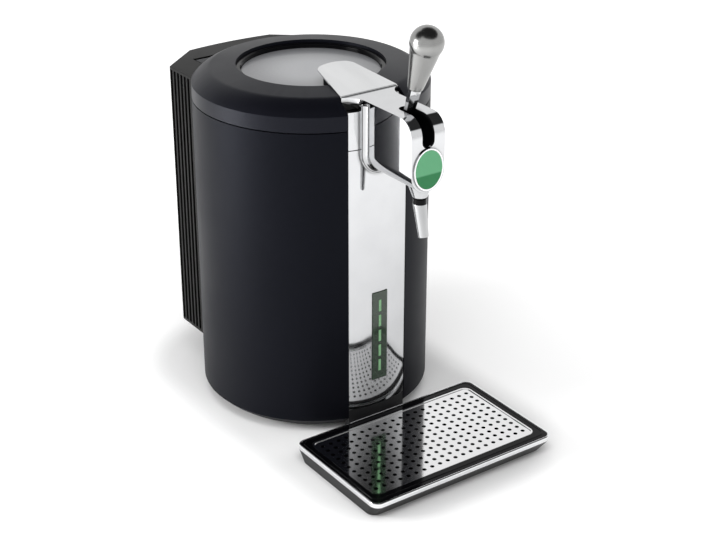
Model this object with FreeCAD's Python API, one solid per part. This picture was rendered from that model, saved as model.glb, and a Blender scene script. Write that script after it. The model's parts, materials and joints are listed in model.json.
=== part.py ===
import FreeCAD, Part
import math
import os

# Mini keg beer dispenser. Millimetres, +Z up, the front faces -Y.
# Everything is drawn about the axis of the round body, standing on z = 0.
# save() then moves it along Y, so that the origin is under the middle of the whole machine.

# ---------------------------------------------------------------- body and base
body_radius = 130.0
shell_wall = 3.0
shell_height = 343.5
shell_bevel = 5.7
shell_lip = 4.0
parting_gap = 1.2
fit_gap = 0.3
seam_gap = 0.6

foot_height = 4.0
foot_radius = 9.0
foot_inset = 20.0
foot_recess_radius = 3.8
foot_recess_depth = 2.0
foot_count = 4
base_floor = 3.0
base_bevel = 2.0
plinth_rise = 6.5
plinth_inset = 12.0
base_flange = 2.5
base_flange_lap = 1.0
base_spigot_wall = 2.5
base_spigot_rise = 13.5
cradle_radius = 86.0
cradle_wall = 3.0

# ---------------------------------------------------------------- keg well
keg_radius = 86.0
keg_clearance = 2.0
liner_wall = 1.5
liner_floor_z = 60.0
liner_corner = 8.0
insulation_floor = 12.0
deck_plate = 3.3
deck_drop = 0.35

# ---------------------------------------------------------------- front column and panel
opening_half = 37.5
panel_thickness = 2.0
panel_inset = 0.5
panel_foot_rise = 15.5
panel_split_rise = 3.7
panel_top_drop = 11.5
column_depth = 26.0
column_neck_depth = 19.5
column_wall = 3.0
column_top_drop = 2.5
tube_groove_half = 7.0
tube_groove_depth = 8.0

# ---------------------------------------------------------------- fill indicator
indicator_rise = 85.4
indicator_height = 106.6
indicator_width = 19.0
indicator_depth = 7.0
indicator_proud = 0.8
bar_count = 5
bar_pitch = 18.3
bar_length = 13.6
bar_width = 3.0
board_width = 30.0
board_overhang = 15.4
board_thickness = 1.6
board_standoff = 3.0
board_room = 7.0
standoff_radius = 2.5

# ---------------------------------------------------------------- tap
arm_half = 20.7
arm_drop = 3.3
arm_height = 56.7
arm_reach = 79.7
arm_front_round = 19.7
arm_wall = 3.5
flange_margin = 5.2
flange_edge = 0.6
flange_front = 1.8
flange_groove = 0.7
flange_groove_inset = 1.6
flange_groove_depth = 0.8
bridge_thickness = 5.0
bridge_gap = 1.2
bridge_root_out = 1.0
bridge_knee_out = 0.2
bridge_knee_along = 0.52
wing_inset = 1.9
gusset_steps = 6
slot_half = 7.6
slot_foot_rise = 10.6
slot_back_out = 6.6
badge_rise = 3.7
badge_half_width = 16.6
badge_half_height = 20.6
badge_thickness = 2.4
badge_round = 1.0
badge_ring_width = 1.6
badge_ring_thickness = 1.8
neck_top_radius = 11.0
neck_bottom_radius = 7.8
neck_length = 8.6
collar_radius = 7.0
collar_height = 7.6
collar_groove = 1.8
collar_groove_depth = 0.9
spout_top_radius = 7.3
spout_tip_radius = 5.4
spout_bore_radius = 4.2
spout_length = 35.6
spout_tilt = 12.0
spout_inset = 12.4
outlet_step = 0.4

# ---------------------------------------------------------------- tap valve and lever
pivot_drop = 34.0
pivot_inset = 43.7
pin_radius = 3.0
pin_blind = 2.3
running_gap = 0.06
hub_radius = 8.0
hub_side_gap = 0.7
lever_tilt = 19.0
stem_foot_radius = 4.6
stem_head_radius = 7.2
stem_length = 63.0
stem_sides = 8
grip_length = 70.7
grip_foot_radius = 8.0
grip_ball_radius = 17.2
grip_shoulder_drop = 7.5
nose_reach = 11.0
nose_radius = 3.0
nose_swing = 25.0
nose_gap = 0.3
nose_web = 4.2
slider_half = 6.4
slider_nose_gap = 0.4
slider_rail_height = 8.6
slider_fork_rise = 5.2
slider_cheek = 3.8
slider_pinch = 2.3
slider_tip_radius = 2.2
valve_hub_gap = 3.0
valve_back_room = 26.0

# ---------------------------------------------------------------- lid
lid_wall_height = 16.3
lid_shoulder_rise = 15.2
lid_shoulder_run = 21.0
lid_shoulder_bulge = 1.8
lid_top_rise = 2.6
lid_opening_radius = 81.5
lid_throat_depth = 8.0
lid_notch_depth = 21.6
ledge_drop = 3.3
ledge_bevel = 1.1
bezel_width = 5.4
window_drop = 8.3
window_thickness = 2.6
window_seat = 2.6
lid_floor_thickness = 2.5
lid_floor_lift = 1.0
seal_inset = 1.0
seal_width = 7.0
foam_inset = 32.0

# ---------------------------------------------------------------- lid handle
handle_back_half = 21.9
handle_overhang = 0.5
handle_drop = 2.0
handle_length = 67.0
handle_slope = 9.2
handle_thickness = 2.6
handle_corner = 7.0
handle_bulge = 4.5
handle_base_half = 19.0
handle_base_setback = 7.9
handle_base_length = 54.0

# ---------------------------------------------------------------- hinge
hinge_out = 4.4
hinge_lift = 1.3
hinge_pin_radius = 2.5
barrel_radius = 5.5
lug_half = 66.5
lug_lap = 18.0
lug_cheek = 3.5
ear_thickness = 4.6
ear_gap = 0.4
ear_wall = 1.6
pocket_gap = 0.8
bracket_plate = 2.5
bracket_gap = 0.6

# ---------------------------------------------------------------- rear housing
housing_half = 101.5
housing_back_half = 54.0
housing_corner_out = 3.0
housing_bow = 4.0
housing_foot_rise = 40.5
housing_wall = 2.5
housing_lap = 21.7
lid_side_gap = 1.8
louvre_count = 6
louvre_pitch = 7.6
louvre_gap = 4.3
louvre_corner = 1.2
louvre_depth = 6.0
louvre_margin = 3.4
grille_half = 44.0
grille_foot_rise = 53.0
grille_top_drop = 35.5
grille_slot = 4.0
grille_pitch = 8.0
grille_slot_count = 9
grille_bar_gap = 8.0
grille_rows = 3
service_half = 40.0
service_rise = 7.0
service_height = 32.0
service_inset = 3.4

# ---------------------------------------------------------------- cooling
cooler_rise = 135.0
cold_half = 30.0
cold_height = 60.0
shell_window_margin = 4.0
peltier_half = 20.0
peltier_thickness = 4.0
sink_half = 68.0
sink_height = 180.0
sink_out = 1.6
sink_plate = 4.4
fin_height = 15.0
fin_thickness = 1.6
fin_count = 15
fan_half = 46.0
fan_depth = 15.0
fan_rim = 3.5
fan_room = 6.0
fan_hub_radius = 15.0
fan_blade_count = 7
fan_tip_gap = 1.0
fan_blade_thickness = 1.6
fan_blade_chord = 11.0
fan_blade_pitch = 38.0
fan_web = 2.4
fan_spoke_half = 2.5
fan_shaft_radius = 2.0

# ---------------------------------------------------------------- electrics
supply_half_x = 48.0
supply_front_y = -42.0
supply_depth = 90.0
supply_height = 30.0
supply_bevel = 3.0
inlet_x = -20.0
inlet_socket_half_width = 12.0
inlet_socket_half_height = 8.2
inlet_rim_x = 3.0
inlet_rim_z = 3.8
inlet_depth = 17.0
inlet_flange = 2.0
blade_half_width = 1.0
blade_half_height = 2.0
blade_spacing = 7.0
blade_drop = 2.0
switch_x = 20.0
switch_wall_x = 0.5
switch_wall_z = 1.3
switch_back_wall = 2.1
rocker_half_width = 6.2
rocker_radius = 10.6
rocker_angle = 14.0
rocker_notch = 2.0

# ---------------------------------------------------------------- drip tray
tray_half = 118.5
tray_gap = 10.0
tray_depth = 148.0
tray_corner = 10.0
tray_taper = 4.0
tray_front_taper = 12.0
tray_side_height = 16.5
tray_wall = 2.5
tray_floor_z = 7.5
tray_floor = 2.0
trim_height = 5.5
trim_thickness = 2.2
trim_round = 1.7
grid_side_inset = 11.0
grid_front_inset = 15.6
grid_back_inset = 11.2
grid_corner = 9.0
grid_drop = 1.3
grid_thickness = 1.2
grid_ledge = 4.0
grid_border = 1.8
grid_border_rise = 0.8
hole_pitch_x = 10.35
hole_pitch_y = 9.84
hole_margin = 9.0
hole_radius = 2.35
prong_centre_x = 24.0
prong_half = 4.0
prong_reach = 40.0
prong_bottom_z = 2.5
prong_gap = 0.5

# ---------------------------------------------------------------- body, worked out from the sizes above
shell_bottom_z = foot_height + plinth_rise
shell_top_z = shell_bottom_z + shell_height
shell_inner_radius = body_radius - shell_wall
plinth_radius = body_radius - plinth_inset
foot_circle = plinth_radius - foot_inset
base_flange_radius = body_radius - shell_bevel - shell_lip + base_flange_lap
base_spigot_radius = body_radius - shell_bevel - shell_lip - fit_gap
base_floor_z = foot_height + base_floor
liner_inner_radius = keg_radius + keg_clearance
liner_outer_radius = liner_inner_radius + liner_wall
deck_top_z = shell_top_z - deck_drop
deck_under_z = deck_top_z - deck_plate
insulation_bottom_z = liner_floor_z - liner_wall - fit_gap - insulation_floor

# ---------------------------------------------------------------- lid, worked out
lid_bottom_z = shell_top_z + parting_gap
shoulder_z = lid_bottom_z + lid_wall_height
lid_edge_radius = body_radius - lid_shoulder_run
lid_edge_z = shoulder_z + lid_shoulder_rise
lid_crest_z = lid_edge_z + lid_top_rise
lid_notch_y = lid_notch_depth - body_radius
lid_floor_z = lid_bottom_z + lid_floor_lift
ledge_z = lid_crest_z - ledge_drop
window_top_z = lid_crest_z - window_drop
window_radius = lid_opening_radius - fit_gap - bezel_width
foam_radius = body_radius - foam_inset
handle_front_half = opening_half - wing_inset
handle_front_y = lid_notch_y - handle_overhang
handle_front_z = lid_crest_z - handle_drop
handle_base_front_y = handle_front_y + handle_base_setback
handle_base_back_y = handle_base_front_y + handle_base_length

# ---------------------------------------------------------------- tap and valve, worked out
arm_top_z = lid_crest_z - arm_drop
arm_round_z = arm_top_z - arm_height
arm_front_y = -body_radius - arm_reach
flange_fillet = flange_margin - flange_edge
bridge_under_z = arm_top_z - bridge_thickness
bridge_back_y = lid_notch_y - bridge_gap
bridge_back_half = handle_front_half
bridge_root_y = -body_radius - bridge_root_out
badge_centre_z = arm_round_z + badge_rise
neck_bottom_z = arm_round_z - arm_half - neck_length
spout_y = arm_front_y + spout_inset
outlet_radius = spout_bore_radius + outlet_step
pivot_y = arm_front_y + pivot_inset
pivot_z = arm_top_z - pivot_drop
slot_foot_z = pivot_z + slot_foot_rise
slot_back_y = pivot_y - slot_back_out
hub_half = slot_half - hub_side_gap
slider_rail_top_z = pivot_z - nose_reach - nose_radius - slider_nose_gap
slider_bottom_z = slider_rail_top_z - slider_rail_height
slider_fork_top_z = slider_rail_top_z + slider_fork_rise
slider_tip_y = spout_y - slider_pinch
slider_travel = 2 * nose_reach * math.sin(math.radians(nose_swing))
valve_top_z = pivot_z - hub_radius - valve_hub_gap
valve_back_y = pivot_y + valve_back_room

# ---------------------------------------------------------------- front, worked out
panel_bottom_z = shell_bottom_z + panel_foot_rise
panel_split_z = arm_round_z + panel_split_rise
panel_top_z = arm_top_z - panel_top_drop
panel_outer_radius = body_radius - panel_inset
panel_inner_radius = panel_outer_radius - panel_thickness
panel_half = opening_half - fit_gap
column_front_radius = panel_inner_radius - fit_gap
column_back_y = column_depth - body_radius
column_neck_y = column_neck_depth - body_radius
column_bottom_z = shell_bottom_z + base_spigot_rise
column_top_z = panel_top_z - column_top_drop
indicator_centre_z = panel_bottom_z + indicator_rise
board_height = indicator_height + board_overhang

# ---------------------------------------------------------------- hinge, cooler and housing, worked out
hinge_y = body_radius + hinge_out
hinge_z = lid_bottom_z + barrel_radius + hinge_lift
ear_radius = hinge_pin_radius + ear_wall
ear_x = lug_half - lug_cheek - ear_gap - ear_thickness
lug_inner_y = body_radius - lug_lap
bracket_top_z = lid_bottom_z - bracket_gap
pocket_floor_z = bracket_top_z - bracket_plate
pocket_half = lug_half + pocket_gap
pocket_back_y = hinge_y + barrel_radius + pocket_gap
fan_z = liner_floor_z + cooler_rise
cold_low_z = fan_z - cold_height / 2
cold_high_z = fan_z + cold_height / 2
sink_low_z = fan_z - sink_height / 2
sink_high_z = fan_z + sink_height / 2
sink_front_y = body_radius + sink_out
sink_back_y = sink_front_y + sink_plate + fin_height
fan_bore_radius = fan_half - fan_rim
fan_blade_radius = fan_bore_radius - fan_tip_gap
housing_corner_y = body_radius + housing_corner_out
housing_back_y = sink_back_y + fan_depth + fan_room
housing_bottom_z = shell_bottom_z + housing_foot_rise
housing_top_z = hinge_z + barrel_radius
housing_side_y = math.sqrt((body_radius + fit_gap) ** 2 - housing_half ** 2)
housing_join_y = housing_side_y - housing_lap
louvre_first_y = housing_corner_y - louvre_corner - louvre_gap - louvre_pitch * (louvre_count - 1)
grille_low_z = housing_bottom_z + grille_foot_rise
grille_high_z = housing_top_z - grille_top_drop
service_low_z = housing_bottom_z + service_rise
service_high_z = service_low_z + service_height
service_inset_y = housing_back_y - service_inset
inlet_half_width = inlet_socket_half_width + inlet_rim_x
inlet_half_height = inlet_socket_half_height + inlet_rim_z
switch_half_width = rocker_half_width + fit_gap + switch_wall_x + inlet_flange
switch_half_height = rocker_radius + fit_gap + switch_wall_z + inlet_flange / 2
switch_depth = rocker_radius + fit_gap + switch_back_wall - inlet_flange

# ---------------------------------------------------------------- drip tray, worked out
tray_back_y = -body_radius - tray_gap
tray_front_y = tray_back_y - tray_depth
tray_rim_z = tray_side_height + trim_height
grid_half = tray_half - grid_side_inset
grid_front_y = tray_front_y + grid_front_inset
grid_back_y = tray_back_y - grid_back_inset
grid_top_z = tray_rim_z - grid_drop
grid_under_z = grid_top_z - grid_thickness
hole_columns = int(2 * (grid_half - hole_margin) / hole_pitch_x) + 1
hole_rows = int((grid_back_y - grid_front_y - 2 * hole_margin) / hole_pitch_y) + 1

# ---------------------------------------------------------------- whole machine
rear_y = housing_back_y + housing_bow
frame_shift_y = -(tray_front_y + rear_y) / 2

FAR = 500.0


# ---------------------------------------------------------------- drawing helpers
def vec(x, y, z):
    return FreeCAD.Vector(x, y, z)


def save(name, shape):
    """Write one sub-part, moved so that the origin is under the middle of the machine."""
    placed = shape.copy()
    placed.translate(vec(0, frame_shift_y, 0))
    placed.exportStep("parts/" + name + ".step")


def block(x0, x1, y0, y1, z0, z1):
    return Part.makeBox(x1 - x0, y1 - y0, z1 - z0, vec(x0, y0, z0))


def disc(radius, z0, z1, x=0.0, y=0.0):
    return Part.makeCylinder(radius, z1 - z0, vec(x, y, z0))


def ring(outer, inner, z0, z1):
    return disc(outer, z0, z1).cut(disc(inner, z0, z1))


def bar_x(radius, x0, x1, y, z):
    return Part.makeCylinder(radius, x1 - x0, vec(x0, y, z), vec(1, 0, 0))


def bar_y(radius, y0, y1, x, z):
    return Part.makeCylinder(radius, y1 - y0, vec(x, y0, z), vec(0, 1, 0))


def join(first, *others):
    return first.multiFuse(list(others)).removeSplitter()


def turned(points):
    """Solid of revolution about Z from (radius, z) corners."""
    corners = [vec(r, 0, z) for r, z in points]
    face = Part.Face(Part.makePolygon(corners + corners[:1]))
    return face.revolve(vec(0, 0, 0), vec(0, 0, 1), 360)


def rounded_outline(half, y0, y1, corner, z):
    """Rectangle with round corners, as one closed wire."""
    k = corner * (1 - math.sqrt(0.5))
    right, left = half, -half

    def line(xa, ya, xb, yb):
        return Part.LineSegment(vec(xa, ya, z), vec(xb, yb, z)).toShape()

    def arc(xa, ya, xm, ym, xb, yb):
        return Part.Arc(vec(xa, ya, z), vec(xm, ym, z), vec(xb, yb, z)).toShape()

    return Part.Wire(
        [
            line(left + corner, y0, right - corner, y0),
            arc(right - corner, y0, right - k, y0 + k, right, y0 + corner),
            line(right, y0 + corner, right, y1 - corner),
            arc(right, y1 - corner, right - k, y1 - k, right - corner, y1),
            line(right - corner, y1, left + corner, y1),
            arc(left + corner, y1, left + k, y1 - k, left, y1 - corner),
            line(left, y1 - corner, left, y0 + corner),
            arc(left, y0 + corner, left + k, y0 + k, left + corner, y0),
        ]
    )


def rounded_slab(half, y0, y1, corner, z0, z1):
    return Part.Face(rounded_outline(half, y0, y1, corner, z0)).extrude(vec(0, 0, z1 - z0))


def prism_x(points, x0, x1):
    corners = [vec(x0, y, z) for y, z in points]
    return Part.Face(Part.makePolygon(corners + corners[:1])).extrude(vec(x1 - x0, 0, 0))


def front_segment(radius, half, z0, z1):
    """Front part of a round column, as wide as the opening at the front of the body."""
    return disc(radius, z0, z1).common(block(-half, half, -FAR, 0, z0, z1))


def front_sector(outer, inner, half, z0, z1):
    return front_segment(outer, half, z0, z1).cut(disc(inner, z0, z1))


def ellipse_plate(half_width, half_height, y0, y1, z):
    """Upright oval plate facing the front."""
    long_axis = vec(0, y0, z + half_height)
    short_axis = vec(half_width, y0, z)
    curve = Part.Ellipse(long_axis, short_axis, vec(0, y0, z))
    face = Part.Face(Part.Wire([curve.toShape()]))
    return face.extrude(vec(0, y1 - y0, 0))


# ---------------------------------------------------------------- base
def foot_places():
    for i in range(foot_count):
        angle = math.radians(45 + 360 * i / foot_count)
        yield foot_circle * math.cos(angle), foot_circle * math.sin(angle)


def rubber_feet():
    feet = []
    for x, y in foot_places():
        foot = disc(foot_radius, 0, foot_height, x, y)
        feet.append(foot.cut(disc(foot_recess_radius, 0, foot_recess_depth, x, y)))
    return Part.makeCompound(feet)


def base_pan():
    """Moulded floor: plinth, flange under the shell, spigot inside it and the cradle for the well."""
    flange_z = shell_bottom_z - base_flange
    spigot_top = shell_bottom_z + base_spigot_rise
    inner = base_spigot_radius - base_spigot_wall
    cradle_in = cradle_radius - cradle_wall
    return turned(
        [
            (0, foot_height),
            (plinth_radius - base_bevel, foot_height),
            (plinth_radius, foot_height + base_bevel),
            (plinth_radius, flange_z),
            (base_flange_radius, flange_z),
            (base_flange_radius, shell_bottom_z),
            (base_spigot_radius, shell_bottom_z),
            (base_spigot_radius, spigot_top),
            (inner, spigot_top),
            (inner, base_floor_z),
            (cradle_radius, base_floor_z),
            (cradle_radius, insulation_bottom_z),
            (cradle_in, insulation_bottom_z),
            (cradle_in, base_floor_z),
            (0, base_floor_z),
        ]
    )


def outer_shell():
    """Round casing wall with a turned-in foot, open at the front and behind the cold block."""
    lip_radius = body_radius - shell_bevel - shell_lip
    shell = turned(
        [
            (body_radius, shell_top_z),
            (body_radius, shell_bottom_z + shell_bevel),
            (body_radius - shell_bevel, shell_bottom_z),
            (lip_radius, shell_bottom_z),
            (lip_radius, shell_bottom_z + shell_wall),
            (body_radius - shell_bevel - shell_wall / 2, shell_bottom_z + shell_wall),
            (shell_inner_radius, shell_bottom_z + shell_bevel + shell_wall / 2),
            (shell_inner_radius, shell_top_z),
        ]
    )
    shell = shell.cut(block(-opening_half, opening_half, -FAR, 0, 0, shell_top_z))
    m = shell_window_margin
    return shell.cut(block(-cold_half - m, cold_half + m, 0, FAR, cold_low_z - m, cold_high_z + m))


# ---------------------------------------------------------------- keg well
def keg_liner():
    """Thin metal cup that the keg stands in, with a round corner at its floor."""
    r = liner_inner_radius
    top = deck_under_z
    c = liner_corner
    k = c * (1 - math.sqrt(0.5))
    outer_c = c + liner_wall
    ko = outer_c * (1 - math.sqrt(0.5))
    z0 = liner_floor_z
    ro = liner_outer_radius
    zo = z0 - liner_wall

    def line(ra, za, rb, zb):
        return Part.LineSegment(vec(ra, 0, za), vec(rb, 0, zb)).toShape()

    def arc(ra, za, rm, zm, rb, zb):
        return Part.Arc(vec(ra, 0, za), vec(rm, 0, zm), vec(rb, 0, zb)).toShape()

    section = Part.Wire(
        [
            line(0, zo, ro - outer_c, zo),
            arc(ro - outer_c, zo, ro - ko, zo + ko, ro, zo + outer_c),
            line(ro, zo + outer_c, ro, top),
            line(ro, top, r, top),
            line(r, top, r, z0 + c),
            arc(r, z0 + c, r - k, z0 + k, r - c, z0),
            line(r - c, z0, 0, z0),
            line(0, z0, 0, zo),
        ]
    )
    return Part.Face(section).revolve(vec(0, 0, 0), vec(0, 0, 1), 360)


def insulation_jacket():
    """Foam cup between the well and the shell, cut away for the front column and the cold block."""
    top = deck_under_z - fit_gap
    jacket = turned(
        [
            (0, insulation_bottom_z),
            (shell_inner_radius - fit_gap, insulation_bottom_z),
            (shell_inner_radius - fit_gap, top),
            (liner_outer_radius + fit_gap, top),
            (liner_outer_radius + fit_gap, liner_floor_z - liner_wall - fit_gap),
            (0, liner_floor_z - liner_wall - fit_gap),
        ]
    )
    front = block(-opening_half, opening_half, -FAR, column_back_y + fit_gap, 0, FAR)
    rear = block(-cold_half - fit_gap, cold_half + fit_gap, 0, FAR, cold_low_z - fit_gap, cold_high_z + fit_gap)
    return jacket.cut(front).cut(rear)


def top_deck():
    """Ring that closes the gap between well and shell, notched round the front column."""
    deck = ring(shell_inner_radius - fit_gap, liner_inner_radius, deck_under_z, deck_top_z)
    return deck.cut(block(-opening_half, opening_half, -FAR, column_neck_y + fit_gap, 0, FAR))


# ---------------------------------------------------------------- front column, panel and indicator
def standoff_places():
    for sx in (-1, 1):
        for sz in (-1, 1):
            x = sx * (board_width / 2 - standoff_radius)
            z = indicator_centre_z + sz * (board_height / 2 - standoff_radius)
            yield x, z


def front_column():
    """Upright channel behind the panel: it carries the tap, the panel and the indicator board."""
    half = panel_half
    low = front_segment(column_front_radius, half, column_bottom_z, deck_under_z - fit_gap)
    low = low.cut(block(-FAR, FAR, column_back_y, FAR, 0, FAR))
    high = front_segment(column_front_radius, half, column_bottom_z, column_top_z)
    high = high.cut(block(-FAR, FAR, column_neck_y, FAR, 0, FAR))
    column = join(low, high)
    pocket_back = column_back_y - column_wall
    pw = board_width / 2 + board_room
    ph = board_height / 2 + board_room
    column = column.cut(block(-pw, pw, -FAR, pocket_back, indicator_centre_z - ph, indicator_centre_z + ph))
    groove_z = column_top_z - tube_groove_depth
    column = column.cut(block(-tube_groove_half, tube_groove_half, -FAR, FAR, groove_z, FAR))
    posts = [
        bar_y(standoff_radius, pocket_back - board_standoff, pocket_back, x, z) for x, z in standoff_places()
    ]
    return join(column, *posts)


def indicator_opening(margin):
    half = indicator_width / 2 + margin
    z0 = indicator_centre_z - indicator_height / 2 - margin
    z1 = indicator_centre_z + indicator_height / 2 + margin
    return block(-half, half, -FAR, 0, z0, z1)


def front_panel():
    """Lower convex panel with the indicator's cut-out."""
    z1 = panel_split_z - seam_gap / 2
    panel = front_sector(panel_outer_radius, panel_inner_radius, panel_half, panel_bottom_z, z1)
    return panel.cut(indicator_opening(fit_gap))


def front_panel_top():
    """Upper convex panel, behind the root of the tap."""
    z0 = panel_split_z + seam_gap / 2
    return front_sector(panel_outer_radius, panel_inner_radius, panel_half, z0, panel_top_z)


def bar_levels():
    first = indicator_centre_z - bar_pitch * (bar_count - 1) / 2
    return [first + bar_pitch * i for i in range(bar_count)]


def indicator_front_y():
    return -panel_outer_radius - indicator_proud


def indicator_frame():
    """Dark bezel in the panel, with one slot for each light."""
    half = indicator_width / 2
    z0 = indicator_centre_z - indicator_height / 2
    z1 = indicator_centre_z + indicator_height / 2
    y0 = indicator_front_y()
    frame = block(-half, half, y0, y0 + indicator_depth, z0, z1)
    for z in bar_levels():
        w = bar_width / 2 + fit_gap / 2
        h = bar_length / 2 + fit_gap / 2
        frame = frame.cut(block(-w, w, y0, y0 + indicator_depth, z - h, z + h))
    return frame


def board_front_y():
    return column_back_y - column_wall - board_standoff - board_thickness


def indicator_bars():
    """Light pipes from the board to the face of the bezel."""
    y0 = indicator_front_y()
    bars = []
    for z in bar_levels():
        w = bar_width / 2
        h = bar_length / 2
        bars.append(block(-w, w, y0, board_front_y() - fit_gap, z - h, z + h))
    return Part.makeCompound(bars)


def control_board():
    y0 = board_front_y()
    half = board_width / 2
    h = board_height / 2
    return block(-half, half, y0, y0 + board_thickness, indicator_centre_z - h, indicator_centre_z + h)


def tray_dock():
    """Black plinth under the panel, with two prongs that the drip tray slides over."""
    seat_radius = base_flange_radius + fit_gap
    top = panel_bottom_z - fit_gap
    outer = front_sector(panel_outer_radius, seat_radius, panel_half, prong_bottom_z, top)
    ledge = front_sector(panel_outer_radius, base_spigot_radius + fit_gap, panel_half, shell_bottom_z, top)
    prongs = []
    for side in (-1, 1):
        x0 = side * prong_centre_x - prong_half
        x1 = side * prong_centre_x + prong_half
        y0 = tray_back_y - prong_reach
        prong = block(x0, x1, y0, -seat_radius, prong_bottom_z, tray_floor_z - prong_gap)
        prongs.append(prong.cut(disc(seat_radius, 0, FAR)))
    column_room = disc(column_front_radius + fit_gap, column_bottom_z - fit_gap, FAR)
    return join(outer, ledge, *prongs).cut(column_room)


# ---------------------------------------------------------------- tap
def tap_outline(half, top_z, round_z, y):
    """Upright outline with a flat top and a half-round foot."""
    top = Part.LineSegment(vec(-half, y, top_z), vec(half, y, top_z)).toShape()
    right = Part.LineSegment(vec(half, y, top_z), vec(half, y, round_z)).toShape()
    foot = Part.Arc(vec(half, y, round_z), vec(0, y, round_z - half), vec(-half, y, round_z)).toShape()
    left = Part.LineSegment(vec(-half, y, round_z), vec(-half, y, top_z)).toShape()
    return Part.Face(Part.Wire([top, right, foot, left]))


def round_front_top(solid, y, z, radius):
    """Round the edge where the top of the arm turns down into its front."""
    edges = []
    for edge in solid.Edges:
        middle = edge.CenterOfMass
        along_x = edge.BoundBox.XLength > slot_half
        if along_x and abs(middle.y - y) < fit_gap and abs(middle.z - z) < fit_gap:
            edges.append(edge)
    return solid.makeFillet(radius, edges)


def arm_body(half, top_z, back_y, front_y, radius):
    solid = tap_outline(half, top_z, arm_round_z, back_y).extrude(vec(0, front_y - back_y, 0))
    return round_front_top(solid, front_y, top_z, radius)


def arm_root(seat):
    """Flared foot of the arm, following the panel, with a fine groove round its edge."""
    front = -seat - flange_front
    stem = tap_outline(arm_half, bridge_under_z, arm_round_z, front - 2 * flange_fillet)
    stem = stem.extrude(vec(0, 2 * flange_fillet, 0))
    plate = tap_outline(arm_half + flange_margin, bridge_under_z, arm_round_z, front)
    plate = plate.extrude(vec(0, seat / 2, 0))
    root = stem.fuse(plate)
    edges = []
    for edge in root.Edges:
        box = edge.BoundBox
        flat = box.YLength < fit_gap and abs(box.YMin - front) < fit_gap
        inside = abs(box.XMax) < arm_half + fit_gap and abs(box.XMin) < arm_half + fit_gap
        if flat and inside and box.ZLength > fit_gap:
            edges.append(edge)
    root = root.makeFillet(flange_fillet, edges)
    inner = arm_half + flange_margin - flange_groove_inset
    groove = tap_outline(inner + flange_groove, bridge_under_z, arm_round_z, front - flange_groove_depth)
    groove = groove.cut(tap_outline(inner, FAR, arm_round_z, front - flange_groove_depth))
    return root.cut(groove.extrude(vec(0, 2 * flange_groove_depth, 0)))


def wing_outline(half, back_y, z):
    """Level outline that sweeps out from the width of the arm to a wider line behind it."""
    knee_x = arm_half + (half - arm_half) * bridge_knee_out
    knee_y = back_y + (bridge_root_y - back_y) * bridge_knee_along

    def side(sign):
        back = vec(sign * half, back_y, z)
        knee = vec(sign * knee_x, knee_y, z)
        root = vec(sign * arm_half, bridge_root_y, z)
        return back, knee, root

    lb, lk, lr = side(-1)
    rb, rk, rr = side(1)
    return Part.Wire(
        [
            Part.LineSegment(lb, rb).toShape(),
            Part.Arc(rb, rk, rr).toShape(),
            Part.LineSegment(rr, lr).toShape(),
            Part.Arc(lr, lk, lb).toShape(),
        ]
    )


def tap_bridge():
    """Top plate that spreads from the arm to the full width of the lid's notch."""
    outline = wing_outline(bridge_back_half, bridge_back_y, bridge_under_z)
    return Part.Face(outline).extrude(vec(0, 0, bridge_thickness))


def arm_gusset(seat):
    """Hollow curve under the bridge, from the width of the flared root out to the bridge's corners."""
    low_z = panel_top_z + fit_gap
    rise = bridge_under_z - low_z
    low_half = arm_half + flange_margin
    low_back = flange_margin / 2 - seat
    outlines = []
    for i in range(gusset_steps + 1):
        angle = math.pi / 2 * i / gusset_steps
        grow = 1 - math.cos(angle)
        half = low_half + (bridge_back_half - low_half) * grow
        back_y = low_back + (bridge_back_y - low_back) * grow
        outlines.append(wing_outline(half, back_y, low_z + rise * math.sin(angle)))
    return Part.makeLoft(outlines, True, True)


def tap_arm():
    """Chromed arm: flared root, hollow body, lever slot, blind pin holes and outlet."""
    seat = panel_outer_radius
    solid = arm_body(arm_half, arm_top_z, bridge_root_y, arm_front_y, arm_front_round)
    solid = join(solid, arm_root(seat)).cut(disc(seat, 0, bridge_under_z))
    solid = join(solid, arm_gusset(seat), tap_bridge())
    inner_half = arm_half - arm_wall
    inner_front = arm_front_y + arm_wall
    hollow = arm_body(inner_half, arm_top_z - arm_wall, 0, inner_front, arm_front_round - arm_wall)
    hollow = hollow.cut(block(-FAR, FAR, bridge_root_y, FAR, bridge_under_z, FAR))
    solid = solid.cut(hollow)
    slot = block(-slot_half, slot_half, -FAR, slot_back_y, slot_foot_z, FAR)
    slot = join(
        slot,
        bar_y(slot_half, -FAR, inner_front + fit_gap, 0, slot_foot_z),
        disc(slot_half, bridge_under_z, FAR, 0, slot_back_y),
    )
    solid = solid.cut(slot)
    reach = inner_half + pin_blind
    solid = solid.cut(bar_x(pin_radius + fit_gap / 10, -reach, reach, pivot_y, pivot_z))
    return solid.cut(disc(outlet_radius + fit_gap, 0, arm_round_z, 0, spout_y))


def badge():
    """Oval badge with a rounded front edge."""
    y1 = arm_front_y
    y0 = y1 - badge_thickness
    plate = ellipse_plate(badge_half_width, badge_half_height, y0, y1, badge_centre_z)
    edges = [e for e in plate.Edges if e.BoundBox.YMax < y0 + fit_gap]
    return plate.makeFillet(badge_round, edges)


def badge_ring():
    y1 = arm_front_y
    y0 = y1 - badge_ring_thickness
    gap = fit_gap / 3
    inner_w = badge_half_width + gap
    inner_h = badge_half_height + gap
    w = badge_ring_width
    outer = ellipse_plate(inner_w + w, inner_h + w, y0, y1, badge_centre_z)
    return outer.cut(ellipse_plate(inner_w, inner_h, y0, y1, badge_centre_z))


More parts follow.
